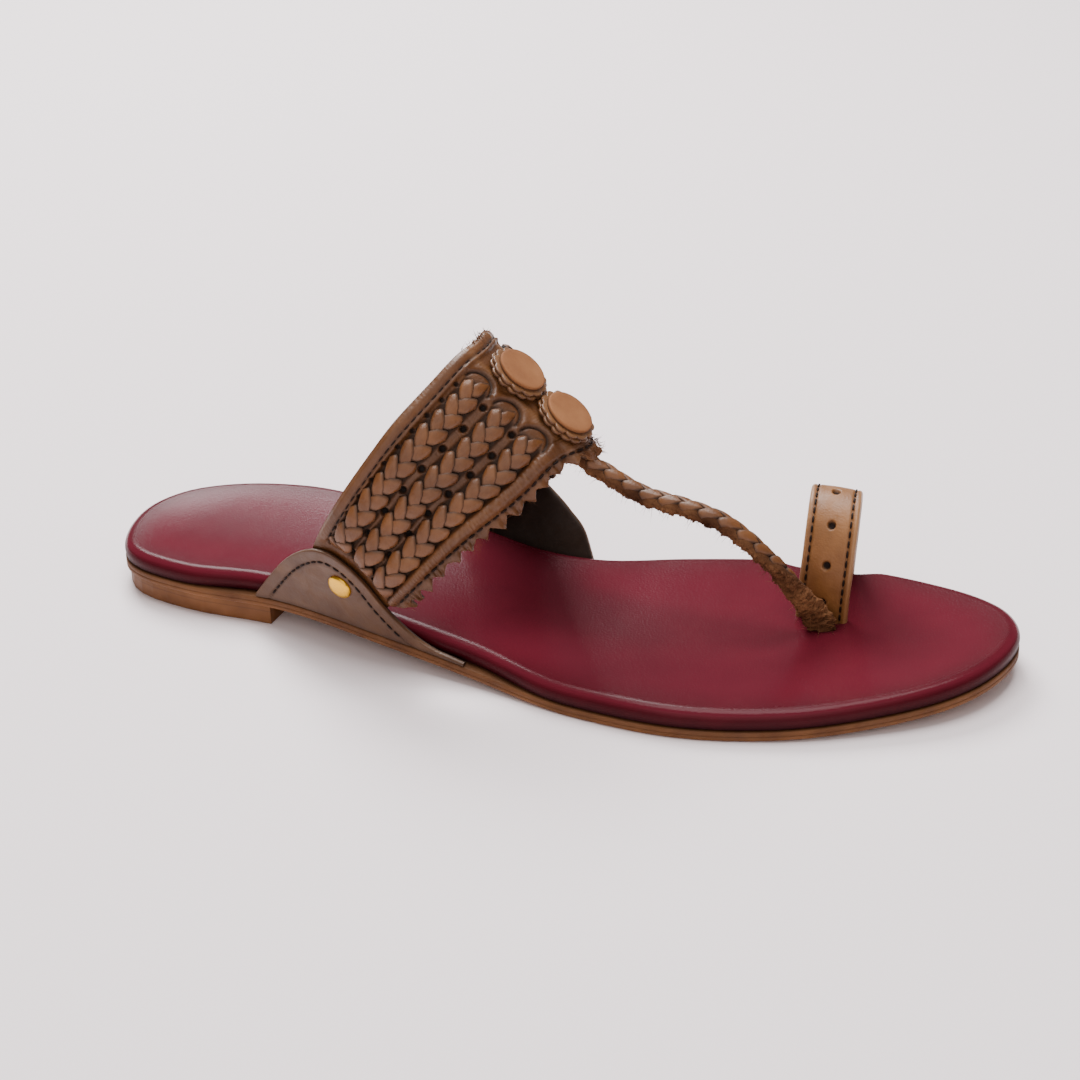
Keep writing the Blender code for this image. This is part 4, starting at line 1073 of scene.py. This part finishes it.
# %% Make the rosettes
def make_rosette(label, share, turn_by):
    """Two scalloped layers turned against each other, and a flat cap with a rounded rim."""
    place = band_face(np.array(0.0), np.array(share))
    out = band_out(np.array(0.002), np.array(share))
    out = unit(out * [1, 0, 1])
    radius = np.array([0.02, 7.0, 8.1, 8.5, 8.6, 8.5, 8.2, 6.8, 0.02]) * MM
    height = np.array([0, 0, 0.04, 0.20, 0.55, 0.88, 1.02, 1.05, 1.05]) * MM
    layers = np.stack([
        turned(place + out * level * MM, out, radius * wide, height, sides=168,
               lobes_count=count, lobe_depth=0.95 * MM, phase=turn_by + level)
        for level, wide, count in ((0.3, 0.99, 15), (1.35, 0.96, 13))])
    level = height[:, None]
    # painted shade at the washer's foot, the cut side at mid height drawn darker, and a painted
    # highlight on its top edge
    shade = 0.75 * bump(level, 0.22 * MM) + 0.25 * bump(level - 0.5 * MM, 0.3 * MM)
    painted_highlight = 0.3 * bump(level - 0.98 * MM, 0.10 * MM)
    washer = tube_piece(f"rosette_washer_{label}", layers, BAND, shade, painted_highlight)
    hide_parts(f"rosette_base_{label}")
    radius = np.array([0.02, 6.2, 6.65, 6.7, 6.65, 6.5, 6.15, 5.0, 3.0, 0.02]) * MM
    height = np.array([0, 0, 0.05, 0.75, 0.95, 1.06, 1.12, 1.10, 1.08, 1.08]) * MM
    disc = turned(place + out * 2.45 * MM, out, radius, height, sides=72)
    # painted shade round the foot of the cap's rim
    cap = tube_piece(f"rosette_disc_{label}", disc, CAP, 0.9 * bump(height[:, None], 0.30 * MM))
    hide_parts(f"rosette_cap_{label}")


make_rosette("rear", 0.365, 0.4)
make_rosette("front", 0.790, 1.7)

# %% [markdown]
# The toe cord is a plait too, but free on all sides.  A soft core follows the chosen route
# from under the crest into the toe slot, the same lobes ride on its upper half, and its
# underside shows the raw, hairy flesh side of the laces.

# %% Lay the cord's route
CORD_ROUTE = np.array([
    (100.5, 1.0, 56.6), (106.0, 1.0, 52.3), (109.5, 1.0, 49.6), (113.6, 0.9, 47.9),
    (118.2, 0.8, 45.6), (123.3, 0.8, 43.6), (128.0, 0.7, 42.6), (132.4, 0.8, 42.1),
    (137.0, 0.9, 41.3), (141.3, 1.1, 40.2), (145.3, 1.4, 38.7), (148.6, 1.9, 36.5),
    (152.0, 2.4, 33.6), (155.2, 3.3, 30.2), (158.4, 4.4, 26.7), (162.9, 6.7, 19.8),
    (165.5, 8.2, 15.6), (168.0, 9.8, 10.8), (169.8, 10.9, 4.6),
]) * MM
CORD_TURN, CORD_TURN_RUN, CORD_FLARE = math.radians(78), 34 * MM, 1.28
CORD_HALF, CORD_HIGH, CORD_STEP = 2.95 * MM, 1.85 * MM, 2.7 * MM


def smooth_path(chosen, count):
    """Even points on a smooth cubic through the chosen ones."""
    reach = run_along(chosen)
    at = np.linspace(0, reach[-1], count)
    return np.stack([smooth_between(reach, column, at) for column in chosen.T], 1)


CORD_PATH = smooth_path(CORD_ROUTE, 300)
CORD_RUN = run_along(CORD_PATH)
CORD_ALONG = unit(np.gradient(CORD_PATH, axis=0))
level_wide = unit(np.cross([0, 0, 1], CORD_ALONG))
level_up = np.cross(CORD_ALONG, level_wide)
twist = ease((CORD_RUN - CORD_RUN[-1] + CORD_TURN_RUN) / (0.6 * CORD_TURN_RUN))[:, None]
twist = CORD_TURN * twist
CORD_UP = level_up * np.cos(twist) + level_wide * np.sin(twist)
CORD_WIDE = level_wide * np.cos(twist) - level_up * np.sin(twist)


def on_cord(run, aside, height):
    """A point beside the cord's middle line, by its run, aside and height."""
    middle, wide, up = (read_along(run, CORD_RUN, table)
                        for table in (CORD_PATH, CORD_WIDE, CORD_UP))
    return middle + wide * aside[..., None] + up * height[..., None]


print("cord length in mm:", round(CORD_RUN[-1] * 1000, 1))

# %% [markdown]
# Three laces plaited round nothing give an oval rope.  A swept circle would show no laces,
# so the rope is a rough core with the band's lobes wrapped over its upper half.

# %% Make the toe cord
def cord_swell(run):
    """Flat and slim where it is tucked in, then full, then flared at its raw end."""
    tucked = 0.72 + 0.28 * ease(run / (12 * MM))
    return tucked, 1 + (CORD_FLARE - 1) * ease((run - CORD_RUN[-1] + 16 * MM) / (11 * MM))


def make_cord():
    """Rough oval core, then lobes wrapped over it: the further aside, the lower they lie."""
    chance = np.random.default_rng(31)
    angle = circle(48)[None]
    run = np.linspace(0, CORD_RUN[-1], 420)[:, None]
    tucked, flare = cord_swell(run)
    under = ease(0.55 - 1.4 * np.sin(angle))
    coarse = np.repeat(np.repeat(chance.normal(0, 1, (140, 16)), 3, 0), 3, 1)
    rough = (0.20 * coarse + 0.12 * chance.normal(0, 1, (420, 48))) * MM * under
    lump = 1 + 0.07 * np.sin(run / CORD_STEP * math.pi + np.sign(np.cos(angle)) * 0.8)
    aside = (CORD_HALF * lump + rough) * np.cos(angle) * flare
    sink = 0.75 * MM * tucked * (1 - ease((run - CORD_RUN[-1] + 16 * MM) / (8 * MM)))
    height = (CORD_HIGH * lump * tucked / flare + rough) * np.sin(angle) - sink
    core = on_cord(np.broadcast_to(run, aside.shape), aside, height)
    # painted shade on the upper half, under the lobes, and in the hollows of the rough underside
    piece = tube_piece("toe_cord_core", core, FLESH,
                       0.45 * (1 - under) + 0.5 * ease(-rough / (0.4 * MM)))
    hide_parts("toe_cord")
    stations = np.arange(5 * MM, CORD_RUN[-1] - 5 * MM, CORD_STEP)
    run, aside, height, shade, painted_highlight = lobes(
        stations, pitch=5.6 * MM, side_reach=2.25 * MM, travel=4.6 * MM, seed=21)
    tucked, flare = cord_swell(run)
    wrap = (aside / MM) ** 2 * 0.13 * MM
    slim = 1 - 0.25 * ease((run - CORD_RUN[-1] + 20 * MM) / (12 * MM))
    face = on_cord(run, aside * (0.5 + 0.5 * flare) * slim, (height - wrap) * tucked + 0.1 * MM)
    piece = tube_piece("toe_cord_plait", face, LACE, shade, painted_highlight)


make_cord()

# %% [markdown]
# The toe ring is a strap bent into an arch.  Its section is a flat oblong with rounded
# corners.  Two rows of stitches run near its edges, and adjusting holes are punched along
# its middle.

# %% Make the toe ring
RING_TOP, RING_SWAY, RING_CORNER, RING_SEAM = 37.4 * MM, 2.2 * MM, 0.7 * MM, 5.1 * MM
RING_ROWS = 260
RING_ACROSS = np.array([10, 0, -10, 30, 165, 390, 600, 800, 945, 1010, 1005, 1000]) / 1000
RING_UP = np.array([0, 150, 360, 610, 850, 990, 995, 870, 640, 360, 150, 0]) / 1000


def ring_line(count):
    """The strap's middle line in x, y and z: shares of its skew, its span and its rise."""
    inner_y = float(sole_edge(np.array([RING_X - RING_SKEW]), 1)[0]) - RING_THICK / 2
    low = float(outsole_top(np.array(RING_X))) + SEAM_GAP
    y = RING_OUTER_Y + (inner_y - RING_OUTER_Y) * RING_ACROSS
    z = low + (RING_TOP - RING_THICK / 2 - low) * RING_UP
    x = RING_X - RING_SKEW * np.clip(RING_ACROSS, 0, 1)
    return smooth_path(np.stack([x, y, z], 1), count)


def make_ring():
    """Sections carried along the arch; holes and seams are dents in the outer face."""
    line = ring_line(RING_ROWS)
    centre, line = line[:, :1], line[:, 1:]
    along = unit(np.gradient(line, axis=0))
    out = np.stack([-along[:, 1], along[:, 0]], 1)
    half, thick = RING_WIDTH / 2, RING_THICK / 2
    flat = np.linspace(-1, 1, 61) * (half - RING_CORNER)
    turn = np.radians(np.linspace(90, -90, 9)[1:-1])
    edge_x, edge_z = half - RING_CORNER + RING_CORNER * np.cos(turn), thick * np.sin(turn)
    x = np.concatenate([flat, edge_x, flat[::-6], -edge_x[::-1]])[None]
    rise = np.concatenate([thick + 0 * flat, edge_z, -thick + 0 * flat[::-6], edge_z[::-1]])[None]
    run = np.linspace(0, 1, RING_ROWS)[:, None] * run_along(line)[-1]
    is_outer = (rise >= thick).astype(float)
    seam = (bump(x - RING_SEAM, 0.45 * MM) + bump(x + RING_SEAM, 0.45 * MM)) * is_outer
    near = np.full((RING_ROWS, x.shape[1]), 1.0)
    for middle in np.arange(9.5, 90, 10.2) * MM:
        near = np.minimum(near, np.hypot(x, run - middle))
    pit = (1 - ease((near - 0.75 * MM) / (0.55 * MM))) * is_outer
    puff = 0.25 * MM * np.cos(x / half * math.pi / 2) * is_outer
    rise = rise + puff - 0.3 * MM * seam - 1.1 * MM * pit
    middle = centre + RING_SWAY * np.clip(np.sin(math.pi * run / run[-1]), 0, 1) ** 1.5
    y = line[:, :1] + out[:, :1] * rise
    z = line[:, 1:] + out[:, 1:] * rise
    grid = np.stack([middle + x, y, z], -1)
    # painted shade in the seams, the holes and on the inner face; painted highlights along the
    # strap's edges
    inside = np.clip(-rise / thick, 0, 1)
    shade = np.maximum(np.maximum(0.3 * seam, pit), 0.45 * inside)
    edge = ease((np.abs(x) - half + 1.1 * MM) / (0.6 * MM))
    piece = tube_piece("toe_ring_strap", grid, STRAP, shade, 0.35 * edge * (1 - inside))
    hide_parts("toe_ring")
    keep = slice(14, 246)
    spots = line[keep] + out[keep] * (thick - 0.1 * MM)
    up = np.column_stack([0 * spots[:, 0], out[keep]])
    for label, aside in (("front", RING_SEAM), ("rear", -RING_SEAM)):
        sew(f"ring_stitches_{label}", np.column_stack([middle[keep] + aside, spots]), up)


make_ring()

# %% [markdown]
# Raw leather edges shed fibres.  Short thin hairs stand on the cord's underside, at its
# frayed end, on the band's toothed edge and at the torn corners of the crest.  Each is a bent
# three-sided thread with few faces.

# %% Add loose fibres
CORD_HAIRS, END_HAIRS, EDGE_HAIRS, CREST_HAIRS = 260, 200, 260, 90


def fibres(name, roots, directions, material, seed, length=1.5 * MM, wide=0.05 * MM):
    """Hairs: a root moved along a direction, bent sideways by the square of the way."""
    chance = np.random.default_rng(seed)
    count = len(roots)
    v = np.linspace(0, 1, 4)[None, :, None, None]
    u = circle(3)[None, None, :, None]
    reach = (length * chance.uniform(0.4, 1.3, count))[:, None, None, None]
    bend = (chance.normal(0, 0.7, (count, 3)) * length)[:, None, None, :]
    aim = unit(directions + chance.normal(0, 0.45, (count, 3)))
    first = unit(np.cross(aim, [0.3, 0.9, 0.2]))
    second = np.cross(aim, first)
    ring = first[:, None, None] * np.cos(u) + second[:, None, None] * np.sin(u)
    grid = roots[:, None, None] + aim[:, None, None] * reach * v + bend * v**2
    grid = grid + ring * wide * (1.15 - v)
    return tube_piece(name, grid, material)


def add_fibres():
    """Roots are spread by seeded chance along the cord's underside and the band's raw edges."""
    chance = np.random.default_rng(11)
    run = np.concatenate([chance.uniform(8, 50, CORD_HAIRS), chance.uniform(50, 92, END_HAIRS)])
    run = np.minimum(run * MM, CORD_RUN[-1] - MM)
    angle = chance.uniform(math.pi * 1.02, math.pi * 1.98, len(run))
    flare = cord_swell(run)[1]
    roots = on_cord(run, 2.7 * MM * flare * np.cos(angle), 1.5 * MM * np.sin(angle) - 0.35 * MM)
    away = unit(roots - on_cord(run, 0 * run, 0 * run))
    piece = fibres("cord_fibres", roots, away, FLESH, 12, length=1.7 * MM, wide=0.075 * MM)
    walk = chance.uniform(-0.74, 0.74, EDGE_HAIRS)
    across = 1 + tooth_reach(walk) / band_width(walk)
    roots = band_face(walk, across) - band_out(walk, across) * 0.9 * MM
    ahead = unit(band_face(walk, across + 0.05) - band_face(walk, across))
    piece = fibres("edge_fibres", roots, ahead, LACE, 13, length=0.8 * MM, wide=0.04 * MM)
    for label, share, aim in (("rear", 0.0, -1), ("front", 1.06, 1)):
        walk = chance.normal(0.02, 0.035, CREST_HAIRS)
        across = share + chance.uniform(-0.01, 0.06, CREST_HAIRS)
        roots = band_face(walk, across) + band_out(walk, across) * 0.1 * MM
        ahead = unit(band_face(walk, across + 0.05) - band_face(walk, across)) * aim
        piece = fibres(f"crest_fibres_{label}", roots, ahead + band_out(walk, across), FLESH,
                       14 + aim, length=0.9 * MM, wide=0.11 * MM)


add_fibres()

# %% [markdown]
# A studio for footwear is a pale seamless floor under large soft lights.  One big light
# hangs behind and to the left, which draws the soft shine on the insole; a weaker one fills
# from the front.

# %% Lay the floor and light it
FLOOR_REACH = 6.0
LIGHT_AIM = Vector((0.09, 0.0, 0.02))


def make_floor():
    """A square of matt pale paper, far wider than the view."""
    material, _, shader = start_finish("matt_pale_studio_paper")
    shader.inputs["Base Color"].default_value = linear("#F3E8EA")
    shader.inputs["Roughness"].default_value = 0.9
    mesh = bpy.data.meshes.new("studio_floor")
    reach = FLOOR_REACH
    corners = [(-reach, -reach, 0), (reach, -reach, 0), (reach, reach, 0), (-reach, reach, 0)]
    mesh.from_pydata(corners, [], [(0, 1, 2, 3)])
    mesh.materials.append(material)
    floor = link_object("studio_floor", mesh)


def make_light(name, place, size, power, tint):
    """A square soft light that faces the middle of the shoe."""
    light = bpy.data.lights.new(name, "AREA")
    light.size = size
    light.energy = power
    light.color = linear(tint)[:3]
    holder = link_object(name, light)
    aim = (Vector(place) - LIGHT_AIM).to_track_quat("Z", "Y")
    holder.matrix_world = Matrix.Translation(place) @ aim.to_matrix().to_4x4()


make_floor()
make_light("back_left_softbox", (-0.55, 0.75, 1.05), 0.7, 32.0, "#FFFFFF")
make_light("front_fill", (0.45, -1.1, 0.8), 1.4, 10.0, "#FFF6F0")
make_light("overhead_softbox", (0.1, 0.15, 1.5), 0.9, 27.0, "#FFFFFF")
world = bpy.data.worlds.new("studio_air")
bpy.context.scene.world = world
world.use_nodes = True
air = world.node_tree.nodes["Background"].inputs
air["Color"].default_value, air["Strength"].default_value = linear("#F2EEF0"), 0.28
